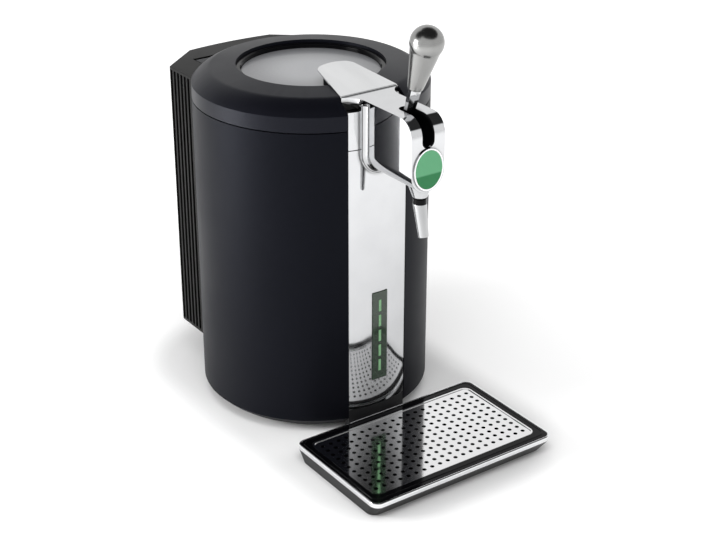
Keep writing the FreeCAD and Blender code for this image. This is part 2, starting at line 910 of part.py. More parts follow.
def spout_neck():
    """Tapered neck under the arm, shaped to the arm's round foot."""
    rise = arm_round_z - arm_half + arm_wall + flange_margin - neck_bottom_z
    grow = (neck_top_radius - neck_bottom_radius) / (arm_round_z - arm_half - neck_bottom_z)
    top_radius = neck_bottom_radius + grow * rise
    neck = Part.makeCone(neck_bottom_radius, top_radius, rise, vec(0, spout_y, neck_bottom_z))
    body = tap_outline(arm_half, arm_top_z, arm_round_z, 0).extrude(vec(0, -FAR, 0))
    neck = neck.cut(body).cut(block(-FAR, FAR, -FAR, arm_front_y, 0, FAR))
    return neck.cut(disc(outlet_radius, 0, FAR, 0, spout_y))


def spout_collar():
    """Collar between neck and spout, with a groove under the neck."""
    z0 = neck_bottom_z - collar_height
    collar = disc(collar_radius, z0, neck_bottom_z, 0, spout_y)
    waist = disc(collar_radius - collar_groove_depth, 0, FAR, 0, spout_y)
    band = disc(FAR, neck_bottom_z - collar_groove, neck_bottom_z, 0, spout_y).cut(waist)
    return collar.cut(band).cut(disc(outlet_radius, z0, neck_bottom_z, 0, spout_y))


def spout_tube():
    """Tapered tube, tilted forward, cut level where it meets the collar."""
    z1 = neck_bottom_z - collar_height
    extra = spout_top_radius
    grow = (spout_top_radius - spout_tip_radius) / spout_length
    length = spout_length + extra
    top_radius = spout_top_radius + grow * extra
    tube = Part.makeCone(spout_tip_radius, top_radius, length, vec(0, 0, -spout_length))
    tube = tube.cut(Part.makeCylinder(spout_bore_radius, length, vec(0, 0, -spout_length)))
    tube.rotate(vec(0, 0, 0), vec(1, 0, 0), -spout_tilt)
    tube.translate(vec(0, spout_y, z1))
    return tube.cut(block(-FAR, FAR, -FAR, FAR, z1, FAR))


# ---------------------------------------------------------------- valve and lever
def nose_centre():
    angle = math.radians(nose_swing)
    return pivot_y - nose_reach * math.sin(angle), pivot_z - nose_reach * math.cos(angle)


def slider_channel(gap):
    """Space that the slider runs in, open at its front end to the beer tube's bore."""
    back = nose_centre()[0] + nose_radius + slider_cheek + slider_travel + 3 * gap
    half = slider_half + gap
    return block(-half, half, slider_tip_y - gap, back, slider_bottom_z - gap, FAR)


def valve_body():
    """Moulded insert in the arm: guides the pinch slider and leads the beer tube down to the outlet."""
    half = arm_half - arm_wall - fit_gap
    front = arm_front_y + arm_wall + fit_gap
    body = tap_outline(half, valve_top_z, arm_round_z, valve_back_y)
    body = body.extrude(vec(0, front - valve_back_y, 0))
    body = body.cut(slider_channel(nose_gap))
    return body.cut(disc(outlet_radius, 0, FAR, 0, spout_y))


def pinch_slider():
    """Sliding jaw with a fork for the lever's nose and a round tip that squeezes the beer tube."""
    nose_y = nose_centre()[0]
    slot = nose_radius + nose_gap
    back = nose_y + slot + slider_cheek
    h = slider_half
    rail = block(-h, h, slider_tip_y + slider_tip_radius, back, slider_bottom_z, slider_rail_top_z)
    tip = disc(slider_tip_radius, slider_bottom_z, slider_rail_top_z, 0, slider_tip_y + slider_tip_radius)
    z0, z1 = slider_rail_top_z, slider_fork_top_z
    front_cheek = block(-h, h, nose_y - slot - slider_cheek, nose_y - slot, z0, z1)
    rear_cheek = block(-h, h, nose_y + slot, back, z0, z1)
    return join(rail, tip, front_cheek, rear_cheek)


def lean(shape):
    """Turn a piece drawn upright over the pivot to the lever's resting angle."""
    shape.rotate(vec(0, 0, 0), vec(1, 0, 0), lever_tilt)
    shape.translate(vec(0, pivot_y, pivot_z))
    return shape


def stem_section(radius, z):
    corners = []
    for i in range(stem_sides):
        angle = 2 * math.pi * (i + 0.5) / stem_sides
        corners.append(vec(radius * math.cos(angle), radius * math.sin(angle), z))
    return Part.makePolygon(corners + corners[:1])


def lever_stem():
    """Faceted stem with the pivot hub and the nose that works the slider."""
    stem = Part.makeLoft(
        [stem_section(stem_foot_radius, hub_radius / 2), stem_section(stem_head_radius, stem_length)],
        True,
    )
    stem = lean(stem)
    hub = bar_x(hub_radius, -hub_half, hub_half, pivot_y, pivot_z)
    ny, nz = nose_centre()
    nose = bar_x(nose_radius, -slider_half, slider_half, ny, nz)
    web = block(-slider_half, slider_half, -nose_web / 2, nose_web / 2, -nose_reach, 0)
    web.rotate(vec(0, 0, 0), vec(1, 0, 0), -nose_swing)
    web.translate(vec(0, pivot_y, pivot_z))
    arm = join(stem, hub, web, nose)
    return arm.cut(bar_x(pin_radius + running_gap, -FAR, FAR, pivot_y, pivot_z))


def lever_grip():
    """Conical grip with a ball end."""
    z0 = stem_length
    centre_z = z0 + grip_length - grip_ball_radius
    shoulder_z = centre_z - grip_shoulder_drop
    shoulder_r = math.sqrt(grip_ball_radius ** 2 - grip_shoulder_drop ** 2)
    half = math.radians(45)
    axis_foot = vec(0, 0, z0)
    foot = vec(grip_foot_radius, 0, z0)
    shoulder = vec(shoulder_r, 0, shoulder_z)
    side = vec(grip_ball_radius * math.cos(half), 0, centre_z + grip_ball_radius * math.sin(half))
    crown = vec(0, 0, z0 + grip_length)
    section = Part.Wire(
        [
            Part.LineSegment(axis_foot, foot).toShape(),
            Part.LineSegment(foot, shoulder).toShape(),
            Part.Arc(shoulder, side, crown).toShape(),
            Part.LineSegment(crown, axis_foot).toShape(),
        ]
    )
    return lean(Part.Face(section).revolve(vec(0, 0, 0), vec(0, 0, 1), 360))


def lever_pin():
    reach = arm_half - arm_wall + pin_blind
    return bar_x(pin_radius, -reach, reach, pivot_y, pivot_z)


# ---------------------------------------------------------------- lid
def lid_surface_points():
    """Corners of the lid's outside from the foot of its wall to the edge of the window opening."""
    chord = math.hypot(lid_shoulder_run, lid_shoulder_rise)
    mid_r = (body_radius + lid_edge_radius) / 2 + lid_shoulder_bulge * lid_shoulder_rise / chord
    mid_z = (shoulder_z + lid_edge_z) / 2 + lid_shoulder_bulge * lid_shoulder_run / chord
    return [
        (body_radius, lid_bottom_z),
        (body_radius, shoulder_z),
        (mid_r, mid_z),
        (lid_edge_radius, lid_edge_z),
        (lid_opening_radius, lid_crest_z),
    ]


def lid_section(inner_points):
    """Face through the lid: outside surface with an arched shoulder, closed by the given corners."""
    foot, low, mid, edge, crest = [vec(r, 0, z) for r, z in lid_surface_points()]
    corners = [crest] + [vec(r, 0, z) for r, z in inner_points] + [foot]
    edges = [
        Part.LineSegment(foot, low).toShape(),
        Part.Arc(low, mid, edge).toShape(),
        Part.LineSegment(edge, crest).toShape(),
    ]
    for a, b in zip(corners, corners[1:]):
        edges.append(Part.LineSegment(a, b).toShape())
    return Part.Face(Part.Wire(edges))


def lid_envelope():
    """Everything under the lid's outer surfaces, used to seat what stands on the lid."""
    seat = window_radius + fit_gap
    points = [
        (lid_opening_radius, ledge_z),
        (seat, ledge_z),
        (seat, window_top_z),
        (0, window_top_z),
        (0, lid_bottom_z),
    ]
    return lid_section(points).revolve(vec(0, 0, 0), vec(0, 0, 1), 360)


def lid_notch(gap):
    return block(-opening_half - gap, opening_half + gap, -FAR, lid_notch_y + gap, 0, FAR)


def lid_lug():
    """Lug behind the lid with a barrel round the hinge pin and a slot for each of the bracket's ears."""
    lug = block(-lug_half, lug_half, lug_inner_y, hinge_y, lid_bottom_z, hinge_z + barrel_radius)
    lug = lug.cut(disc(body_radius - shell_wall / 2, 0, FAR))
    lug = join(lug, bar_x(barrel_radius, -lug_half, lug_half, hinge_y, hinge_z))
    room = ear_radius + ear_gap
    for side in (-1, 1):
        middle = side * (ear_x + ear_thickness / 2)
        half = ear_thickness / 2 + ear_gap
        lug = lug.cut(block(middle - half, middle + half, hinge_y - room, FAR, 0, hinge_z + room))
    return lug


def lid_ring():
    """Black lid: side wall, shoulder and top ring, notched over the tap, with the hinge lug behind."""
    w = shell_wall
    throat = lid_opening_radius
    inner_edge = lid_edge_radius - w / 3
    points = [
        (throat, lid_crest_z - lid_throat_depth),
        (throat + w, lid_crest_z - lid_throat_depth),
        (throat + w, lid_crest_z - w),
        (inner_edge, lid_edge_z - w),
        (body_radius - w, shoulder_z - w / 3),
        (body_radius - w, lid_bottom_z),
    ]
    lid = lid_section(points).revolve(vec(0, 0, 0), vec(0, 0, 1), 360)
    lid = lid.cut(lid_notch(0))
    lid = lid.cut(lid_handle_solid(fit_gap))
    return join(lid, lid_lug()).cut(bar_x(hinge_pin_radius + running_gap, -FAR, FAR, hinge_y, hinge_z))


def window_bezel():
    """Stepped ring that holds the window."""
    z1 = ledge_z
    z0 = window_top_z - window_thickness - window_seat
    outer = lid_opening_radius - fit_gap
    seat = window_radius + fit_gap
    lip = window_radius - window_seat
    zs = z0 + window_seat
    return turned(
        [
            (outer, z1),
            (seat + ledge_bevel, z1),
            (seat, z1 - ledge_bevel),
            (seat, zs),
            (lip, zs),
            (lip, z0),
            (outer, z0),
        ]
    )


def lid_window():
    z1 = window_top_z
    return disc(window_radius, z1 - window_thickness, z1)


def lid_floor():
    """Inner skin of the lid, with a turned-up rim that clips inside the wall."""
    r = shell_inner_radius - fit_gap
    z0 = lid_floor_z
    rim = z0 + 3 * lid_floor_thickness
    floor = turned(
        [
            (0, z0),
            (r, z0),
            (r, rim),
            (r - lid_floor_thickness, rim),
            (r - lid_floor_thickness, z0 + lid_floor_thickness),
            (0, z0 + lid_floor_thickness),
        ]
    )
    return floor.cut(lid_notch(fit_gap))


def lid_seal():
    """Ring under the lid that closes on the deck, just outside the mouth of the well."""
    inner = liner_inner_radius + seal_inset
    return ring(inner + seal_width, inner, deck_top_z + fit_gap, lid_floor_z)


def lid_foam():
    z0 = lid_floor_z + lid_floor_thickness
    z1 = window_top_z - window_thickness - window_seat - fit_gap
    return disc(foam_radius, z0, z1)


def handle_place(shape):
    """Tip a plate drawn level to the slope of the lid handle."""
    shape.rotate(vec(0, 0, 0), vec(1, 0, 0), handle_slope)
    shape.translate(vec(0, handle_front_y, handle_front_z))
    return shape


def lid_handle_solid(gap):
    """Tongue-shaped plate that rises towards its back."""
    fh = handle_front_half + gap
    bh = handle_back_half + gap
    length = handle_length + gap
    r = handle_corner
    k = r * (1 - math.sqrt(0.5))
    z = -handle_thickness - gap
    height = handle_thickness + gap
    if gap:
        height = FAR
    narrow = (fh - bh) * r / length
    fl, fr = vec(-fh, -gap, z), vec(fh, -gap, z)
    rs = vec(bh + narrow, length - r, z)
    re = vec(bh - r, length + k, z)
    rm = vec(bh - k / 2, length - k, z)
    ls = vec(-rs.x, rs.y, z)
    le = vec(-re.x, re.y, z)
    lm = vec(-rm.x, rm.y, z)
    crown = vec(0, length + handle_bulge, z)
    outline = Part.Wire(
        [
            Part.LineSegment(fl, fr).toShape(),
            Part.LineSegment(fr, rs).toShape(),
            Part.Arc(rs, rm, re).toShape(),
            Part.Arc(re, crown, le).toShape(),
            Part.Arc(le, lm, ls).toShape(),
            Part.LineSegment(ls, fl).toShape(),
        ]
    )
    return handle_place(Part.Face(outline).extrude(vec(0, 0, height)))


def lid_handle():
    return lid_handle_solid(0)


def handle_base():
    """Black foot that joins the handle plate to the lid."""
    base = rounded_slab(
        handle_base_half,
        handle_base_front_y,
        handle_base_back_y,
        handle_corner,
        lid_bottom_z,
        FAR,
    )
    above = handle_place(block(-FAR, FAR, -FAR, FAR, -handle_thickness, FAR))
    return base.cut(above).cut(lid_envelope()).cut(lid_handle_solid(fit_gap / 10))


# ---------------------------------------------------------------- hinge
def hinge_bracket():
    """Metal yoke under the lid's lug, with two ears that stand in its slots and hold the pin."""
    reach = ear_x + ear_thickness
    plate = block(
        -reach,
        reach,
        hinge_y - ear_radius,
        pocket_back_y - fit_gap,
        pocket_floor_z,
        bracket_top_z,
    )
    ears = []
    for side in (-1, 1):
        x0 = min(side * ear_x, side * reach)
        x1 = x0 + ear_thickness
        web = block(x0, x1, hinge_y - ear_radius, hinge_y + ear_radius, bracket_top_z, hinge_z)
        ears.append(join(web, bar_x(ear_radius, x0, x1, hinge_y, hinge_z)))
    bracket = join(plate, *ears).cut(disc(body_radius + fit_gap, 0, FAR))
    return bracket.cut(bar_x(hinge_pin_radius, -FAR, FAR, hinge_y, hinge_z))


def hinge_pin():
    reach = lug_half - ear_gap
    return bar_x(hinge_pin_radius, -reach, reach, hinge_y, hinge_z)


# ---------------------------------------------------------------- rear housing
def housing_solid(inset, z0, z1):
    """Housing in plan: straight sides, chamfered corners and a slightly bowed back."""
    half = housing_half
    back_half = housing_back_half
    y_side = housing_corner_y
    y_back = housing_back_y
    fl = vec(-half, housing_join_y, z0)
    fr = vec(half, housing_join_y, z0)
    rs = vec(half, y_side, z0)
    ls = vec(-half, y_side, z0)
    rb = vec(back_half, y_back, z0)
    lb = vec(-back_half, y_back, z0)
    crown = vec(0, y_back + housing_bow, z0)
    outline = Part.Wire(
        [
            Part.LineSegment(fl, fr).toShape(),
            Part.LineSegment(fr, rs).toShape(),
            Part.LineSegment(rs, rb).toShape(),
            Part.Arc(rb, crown, lb).toShape(),
            Part.LineSegment(lb, ls).toShape(),
            Part.LineSegment(ls, fl).toShape(),
        ]
    )
    if inset:
        outline = outline.makeOffset2D(-inset, 2)
    return Part.Face(outline).extrude(vec(0, 0, z1 - z0))


def pocket(margin):
    """Room for the lid's hinge lug."""
    half = pocket_half + margin
    return block(-half, half, 0, pocket_back_y + margin, pocket_floor_z - margin, FAR)


def grille_window(margin):
    half = grille_half + margin
    y0 = housing_back_y - housing_wall - housing_bow
    return block(-half, half, y0, FAR, grille_low_z - margin, grille_high_z + margin)


def rear_housing():
    """Housing over the cooler: louvred sides, hinge pocket, grille window and service recess."""
    w = housing_wall
    deep = housing_half - louvre_depth
    outer = housing_solid(0, housing_bottom_z, housing_top_z)
    inner = housing_solid(w, housing_bottom_z + w, housing_top_z - w).cut(pocket(w))
    inner = inner.common(block(-deep, deep, 0, FAR, 0, FAR))
    housing = outer.cut(inner).cut(pocket(0))
    housing = housing.cut(disc(body_radius + fit_gap, 0, FAR))
    housing = housing.cut(disc(body_radius + lid_side_gap, shell_top_z, FAR))
    low = housing_bottom_z + louvre_margin
    high = housing_top_z - louvre_margin
    for i in range(louvre_count):
        y = louvre_first_y + louvre_pitch * i
        slit = block(-FAR, FAR, y, y + louvre_gap, low, high)
        housing = housing.cut(slit.cut(block(w - deep, deep - w, 0, FAR, 0, FAR)))
    housing = housing.cut(grille_window(0))
    room = block(-service_half, service_half, service_inset_y, FAR, service_low_z, service_high_z)
    recess = block(
        -service_half - w,
        service_half + w,
        service_inset_y - w,
        housing_back_y,
        service_low_z - w,
        service_high_z + w,
    )
    housing = join(housing, recess).cut(room)
    return housing.cut(inlet_body(fit_gap)).cut(switch_body(fit_gap))


def rear_grille():
    """Screen behind the fan, with rows of upright slots."""
    inner = housing_solid(housing_wall, 0, FAR)
    sheet = housing_solid(0, grille_low_z, grille_high_z).cut(inner)
    grille = sheet.common(grille_window(-fit_gap))
    height = (grille_high_z - grille_low_z - grille_bar_gap * (grille_rows + 1)) / grille_rows
    for row in range(grille_rows):
        z0 = grille_low_z + grille_bar_gap + row * (height + grille_bar_gap)
        for i in range(grille_slot_count):
            x = (i - (grille_slot_count - 1) / 2) * grille_pitch
            grille = grille.cut(block(x - grille_slot / 2, x + grille_slot / 2, 0, FAR, z0, z0 + height))
    return grille


# ---------------------------------------------------------------- cooling
def cold_block():
    """Aluminium block between the well and the cooling module."""
    y1 = sink_front_y - peltier_thickness
    cold = block(-cold_half, cold_half, 0, y1, cold_low_z, cold_high_z)
    return cold.cut(disc(liner_outer_radius + fit_gap / 2, 0, FAR))


def peltier_module():
    h = peltier_half
    return block(-h, h, sink_front_y - peltier_thickness, sink_front_y, fan_z - h, fan_z + h)


def heat_sink():
    """Base plate with upright fins."""
    y1 = sink_front_y + sink_plate
    plate = block(-sink_half, sink_half, sink_front_y, y1, sink_low_z, sink_high_z)
    fins = []
    for i in range(fin_count):
        x = -sink_half + i * (2 * sink_half - fin_thickness) / (fin_count - 1)
        fins.append(block(x, x + fin_thickness, y1, sink_back_y, sink_low_z, sink_high_z))
    return join(plate, *fins)


def fan_frame():
    """Square frame with a round duct and a spider that carries the rotor."""
    y0 = sink_back_y
    y1 = y0 + fan_depth
    frame = block(-fan_half, fan_half, y0, y1, fan_z - fan_half, fan_z + fan_half)
    frame = frame.cut(bar_y(fan_bore_radius, y0, y1, 0, fan_z))
    web_y = y1 - fan_web
    s = fan_spoke_half
    across = block(-fan_bore_radius, fan_bore_radius, web_y, y1, fan_z - s, fan_z + s)
    upright = block(-s, s, web_y, y1, fan_z - fan_bore_radius, fan_z + fan_bore_radius)
    hub = bar_y(fan_hub_radius, web_y, y1, 0, fan_z)
    frame = join(frame, across, upright, hub)
    return frame.cut(bar_y(fan_shaft_radius + running_gap, web_y, y1, 0, fan_z))


def fan_rotor():
    """Hub, shaft and pitched blades."""
    y0 = sink_back_y + fan_web / 2
    y1 = sink_back_y + fan_depth - fan_web - fit_gap
    hub = bar_y(fan_hub_radius, y0, y1, 0, fan_z)
    shaft = bar_y(fan_shaft_radius, y1, y1 + fan_web, 0, fan_z)
    middle = (y0 + y1) / 2
    blades = []
    for i in range(fan_blade_count):
        blade = block(
            fan_hub_radius / 2,
            fan_blade_radius,
            -fan_blade_chord / 2,
            fan_blade_chord / 2,
            -fan_blade_thickness / 2,
            fan_blade_thickness / 2,
        )
        blade.rotate(vec(0, 0, 0), vec(1, 0, 0), fan_blade_pitch)
        blade.rotate(vec(0, 0, 0), vec(0, 1, 0), 360 * i / fan_blade_count)
        blade.translate(vec(0, middle, fan_z))
        blades.append(blade)
    return join(hub, shaft, *blades)


# ---------------------------------------------------------------- electrics
def power_supply():
    """Closed supply case on the floor of the base."""
    y0 = supply_front_y
    z0 = base_floor_z
    case = block(-supply_half_x, supply_half_x, y0, y0 + supply_depth, z0, z0 + supply_height)
    top = [e for e in case.Edges if e.BoundBox.ZMin > z0 + supply_height - fit_gap]
    return case.makeChamfer(supply_bevel, top)


def service_z():
    return (service_low_z + service_high_z) / 2


def inlet_body(gap):
    """Envelope of the inlet behind its flange."""
    w = inlet_socket_half_width + inlet_flange / 2 + gap
    h = inlet_socket_half_height + inlet_flange / 2 + gap
    y1 = service_inset_y
    z = service_z()
    return block(inlet_x - w, inlet_x + w, y1 - inlet_depth, y1, z - h, z + h)


def power_inlet():
    """Three-pole appliance inlet with a flange, an open socket and its contact blades."""
    y1 = service_inset_y
    z = service_z()
    w, h = inlet_half_width, inlet_half_height
    flange = block(inlet_x - w, inlet_x + w, y1, y1 + inlet_flange, z - h, z + h)
    body = join(inlet_body(0), flange)
    sw, sh = inlet_socket_half_width, inlet_socket_half_height
    back = y1 - inlet_depth + inlet_flange
    body = body.cut(block(inlet_x - sw, inlet_x + sw, back, FAR, z - sh, z + sh))
    blades = []
    for i in (-1, 0, 1):
        x = inlet_x + i * blade_spacing
        zc = z - blade_drop - abs(i) * blade_drop
        blades.append(
            block(
                x - blade_half_width,
                x + blade_half_width,
                back,
                y1 - inlet_flange,
                zc - blade_half_height,
                zc + blade_half_height,
            )
        )
    return join(body, *blades)


def switch_body(gap):
    """Envelope of the switch behind its flange."""
    w = switch_half_width - inlet_flange + gap
    h = switch_half_height - inlet_flange / 2 + gap
    y1 = service_inset_y
    z = service_z()
    return block(switch_x - w, switch_x + w, y1 - switch_depth - inlet_flange, y1, z - h, z + h)


def switch_frame():
    """Bezel and case of the power switch, open where the rocker tips."""
    y1 = service_inset_y
    z = service_z()
    w, h = switch_half_width, switch_half_height
    flange = block(switch_x - w, switch_x + w, y1, y1 + inlet_flange, z - h, z + h)
    body = join(switch_body(0), flange)
    rw = rocker_half_width + fit_gap
    rr = rocker_radius + fit_gap
    body = body.cut(bar_x(rr, switch_x - rw, switch_x + rw, y1, z))
    return body.cut(block(switch_x - rw, switch_x + rw, y1, FAR, z - rr, z + rr))


def power_rocker():
    """Rocker button: a disc segment with a shallow V face, tipped to its on side."""
    y1 = service_inset_y
    z = service_z()
    w = rocker_half_width
    button = bar_x(rocker_radius, switch_x - w, switch_x + w, y1, z)
    tilt = math.radians(rocker_angle)
    reach = 2 * rocker_radius
    notch_y = y1 + rocker_notch
    front = prism_x(
        [
            (notch_y, z),
            (notch_y + reach * math.tan(tilt), z + reach),
            (FAR, z + reach),
            (FAR, z - reach),
            (notch_y, z - reach),
        ],
        switch_x - w,
        switch_x + w,
    )
    return button.cut(front)


# ---------------------------------------------------------------- drip tray
def tray_slab(inset, z0, z1):
    corner = max(tray_corner - inset, trim_round)
    return rounded_slab(tray_half - inset, tray_front_y + inset, tray_back_y - inset, corner, z0, z1)


def tray_pan():
    """Basin with tapered skirts, a rim for the trim and a ledge for the grid."""
    foot_half = tray_half - tray_taper
    foot_front = tray_front_y + tray_front_taper
    foot_back = tray_back_y - tray_taper
    low = rounded_outline(foot_half, foot_front, foot_back, tray_corner, 0)
    high = rounded_outline(tray_half, tray_front_y, tray_back_y, tray_corner, tray_side_height)
    skirt = Part.makeLoft([low, high], True)
    pan = skirt.fuse(tray_slab(trim_thickness, tray_side_height, tray_rim_z))
    w = tray_wall
    pan = pan.cut(rounded_slab(foot_half - w, foot_front + w, foot_back - w, tray_corner - w, 0, tray_floor_z))
    seat = grid_half + fit_gap
    y0 = grid_front_y - fit_gap
    y1 = grid_back_y + fit_gap
    pan = pan.cut(rounded_slab(seat, y0, y1, grid_corner + fit_gap, grid_under_z, FAR))
    e = grid_ledge
    pan = pan.cut(rounded_slab(seat - e, y0 + e, y1 - e, grid_corner, tray_floor_z + tray_floor, FAR))
    for side in (-1, 1):
        x = side * prong_centre_x
        half = prong_half + prong_gap
        pan = pan.cut(block(x - half, x + half, foot_back - 2 * w, FAR, 0, tray_floor_z))
    return pan


def tray_trim():
    """Bright band round the tray, with a rounded top edge."""
    z0, z1 = tray_side_height, tray_rim_z
    band = tray_slab(0, z0, z1)
    edges = [e for e in band.Edges if e.BoundBox.ZMin > z1 - fit_gap]
    band = band.makeFillet(trim_round, edges)
    return band.cut(tray_slab(trim_thickness, z0, z1))


def drip_grid():
    """Perforated plate with a raised border."""
    y0 = grid_front_y
    y1 = grid_back_y
    plate = rounded_slab(grid_half, y0, y1, grid_corner, grid_under_z, grid_top_z)
    b = grid_border
    top = grid_top_z + grid_border_rise
    border = rounded_slab(grid_half, y0, y1, grid_corner, grid_under_z, top)
    border = border.cut(rounded_slab(grid_half - b, y0 + b, y1 - b, grid_corner - b, grid_under_z, top))
    holes = []
    for row in range(hole_rows):
        y = (y0 + y1) / 2 + (row - (hole_rows - 1) / 2) * hole_pitch_y
        for column in range(hole_columns):
            x = (column - (hole_columns - 1) / 2) * hole_pitch_x
            holes.append(disc(hole_radius, grid_under_z, grid_top_z, x, y))
    return join(plate, border).cut(Part.makeCompound(holes))


# ---------------------------------------------------------------- build
sub_parts = {
    "rubber_feet": rubber_feet,
    "base_pan": base_pan,
    "outer_shell": outer_shell,
    "keg_liner": keg_liner,
    "insulation_jacket": insulation_jacket,
    "top_deck": top_deck,
    "front_column": front_column,
    "front_panel": front_panel,
    "front_panel_top": front_panel_top,
    "indicator_frame": indicator_frame,
    "indicator_bars": indicator_bars,
    "control_board": control_board,
    "tray_dock": tray_dock,
    "tap_arm": tap_arm,
    "badge": badge,
    "badge_ring": badge_ring,
    "spout_neck": spout_neck,
    "spout_collar": spout_collar,
    "spout_tube": spout_tube,
    "valve_body": valve_body,
    "pinch_slider": pinch_slider,
    "lever_stem": lever_stem,
    "lever_grip": lever_grip,
    "lever_pin": lever_pin,
    "lid_ring": lid_ring,
    "window_bezel": window_bezel,
    "lid_window": lid_window,
    "lid_floor": lid_floor,
    "lid_seal": lid_seal,
    "lid_foam": lid_foam,
    "lid_handle": lid_handle,
    "handle_base": handle_base,
    "hinge_bracket": hinge_bracket,
    "hinge_pin": hinge_pin,
    "rear_housing": rear_housing,
    "rear_grille": rear_grille,
    "cold_block": cold_block,
    "peltier_module": peltier_module,
    "heat_sink": heat_sink,
    "fan_frame": fan_frame,
    "fan_rotor": fan_rotor,
    "power_supply": power_supply,
    "power_inlet": power_inlet,
    "switch_frame": switch_frame,
    "power_rocker": power_rocker,
    "tray_pan": tray_pan,
    "tray_trim": tray_trim,
    "drip_grid": drip_grid,
}

os.makedirs("parts", exist_ok=True)
for name, make in sub_parts.items():
    save(name, make())
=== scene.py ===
import json
import math

import bmesh
import bpy
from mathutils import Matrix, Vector
from mathutils.bvhtree import BVHTree


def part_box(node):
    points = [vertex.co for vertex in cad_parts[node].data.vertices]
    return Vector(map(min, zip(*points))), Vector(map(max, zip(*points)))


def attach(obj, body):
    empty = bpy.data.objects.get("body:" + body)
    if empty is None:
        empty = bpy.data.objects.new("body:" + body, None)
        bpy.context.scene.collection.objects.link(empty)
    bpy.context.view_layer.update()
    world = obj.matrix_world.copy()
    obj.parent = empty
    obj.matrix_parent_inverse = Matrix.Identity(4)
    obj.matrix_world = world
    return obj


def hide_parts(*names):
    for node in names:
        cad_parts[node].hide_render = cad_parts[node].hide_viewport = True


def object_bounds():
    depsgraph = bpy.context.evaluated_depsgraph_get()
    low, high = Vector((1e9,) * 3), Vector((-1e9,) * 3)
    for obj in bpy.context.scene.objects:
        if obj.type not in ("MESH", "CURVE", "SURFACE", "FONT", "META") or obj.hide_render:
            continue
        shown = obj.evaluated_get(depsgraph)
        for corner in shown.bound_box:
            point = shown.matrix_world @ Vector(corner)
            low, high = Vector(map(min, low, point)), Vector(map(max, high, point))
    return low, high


# Looks of a mini keg beer dispenser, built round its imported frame. Metres, +Z up, the front faces -Y.

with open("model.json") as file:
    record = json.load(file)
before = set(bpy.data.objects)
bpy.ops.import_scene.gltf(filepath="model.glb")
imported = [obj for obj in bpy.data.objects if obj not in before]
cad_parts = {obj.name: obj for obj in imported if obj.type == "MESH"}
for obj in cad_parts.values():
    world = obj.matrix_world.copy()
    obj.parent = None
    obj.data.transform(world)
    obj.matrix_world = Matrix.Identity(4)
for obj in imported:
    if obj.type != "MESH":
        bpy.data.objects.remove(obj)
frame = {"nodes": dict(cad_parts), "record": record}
cad_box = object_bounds()
node_slot = {row["node"]: row["material_slot"] for row in frame["record"]["subparts"]}

MM = 0.001

# ---------------------------------------------------------------- the studio
floor_size = 6.0
# Painted light makes the floor look paler with distance from the machine, which leaves painted shade next
# to it: start and end of each rise, and its height.
painted_floor_glows = ((0, 0.05, 0.28), (0.03, 0.6, 0.32))
glow_corner = 0.09
fill_strength = 0.46
# Parts of the sky that look dark: direction of the middle, and half angles of the core and of the edge.
dark_parts = (
    ((0.12, -0.18, 0.976), 44, 51),
    ((-0.562, 0.356, 0.747), 18, 32),
)
dark_tone = 0.03
# Name, place, target, width, height, watts, and whether it shows in glossy surfaces.
lamps = (
    ("key", (-0.6, -1.0, 2.0), (0, 0, 0.2), 1.4, 1.0, 19, False),
    ("left_strip", (-1.2, 0.45, 0.4), (0, 0, 0.15), 0.5, 0.75, 16, True),
    ("right_fill", (1.8, -0.9, 1.2), (0, 0, 0.2), 1.0, 1.4, 7, False),
)
eye_left, eye_ahead, eye_height = 0.8733, 1.3342, 0.9033
eye_down, eye_turn = 25.60, 35.03
lens_length, sensor_width = 77.28, 36.0

# ---------------------------------------------------------------- limits of the shared effects
noise_low, noise_high = 0.36, 0.66
# Painted shade in creases: the open-sky share at which it is darkest, the share at which it ends, and the
# rays that find it.
crease_shade_closed, crease_shade_open, crease_shade_samples = 0.4, 0.95, 12
# Share of the window's radius that keeps the painted highlight before the painted shade towards the rim
# begins, and the gap of the rings in millimetres.
window_lit_core, window_ring_gap = 0.25, 4
badge_line_low, badge_line_high = 0.36, 0.40

# ---------------------------------------------------------------- sizes of the added shapes, in millimetres
weld_gap = 0.002
flat_angle = 0.4
arm_half_width = 20.7
arm_root_back = 8
screw_radius, screw_inset = 2.9, 7
bead_radius, bead_sunk, bead_corner = 0.9, 0.3, 8


# ---------------------------------------------------------------- places read from the frame
def middle(node):
    low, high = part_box(node)
    return (low + high) / 2


shell_low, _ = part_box("outer_shell")
arm_low, arm_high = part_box("tap_arm")
badge_low, badge_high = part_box("badge")
body_axis_y = middle("base_pan").y


# ---------------------------------------------------------------- node groups shared by the materials
def new_group(name, inputs, outputs):
    """Empty shader group with named sockets, and its two end nodes."""
    group = bpy.data.node_groups.new(name, "ShaderNodeTree")
    for label, kind, value in inputs:
        socket = group.interface.new_socket(name=label, in_out="INPUT", socket_type=kind)
        socket.default_value = value
    for label, kind in outputs:
        group.interface.new_socket(name=label, in_out="OUTPUT", socket_type=kind)
    return group, group.nodes.new("NodeGroupInput"), group.nodes.new("NodeGroupOutput")


FLOAT, COLOUR, VECTOR = "NodeSocketFloat", "NodeSocketColor", "NodeSocketVector"


def stretched_noise(group, source, detail):
    """Noise over the object's own coordinates, scaled by the group's Scale and Stretch."""
    link = group.links.new
    place = group.nodes.new("ShaderNodeTexCoord")
    mapping = group.nodes.new("ShaderNodeMapping")
    noise = group.nodes.new("ShaderNodeTexNoise")
    noise.inputs["Detail"].default_value = detail
    link(place.outputs["Object"], mapping.inputs["Vector"])
    link(source.outputs["Stretch"], mapping.inputs["Scale"])
    link(mapping.outputs["Vector"], noise.inputs["Vector"])
    link(source.outputs["Scale"], noise.inputs["Scale"])
    return noise


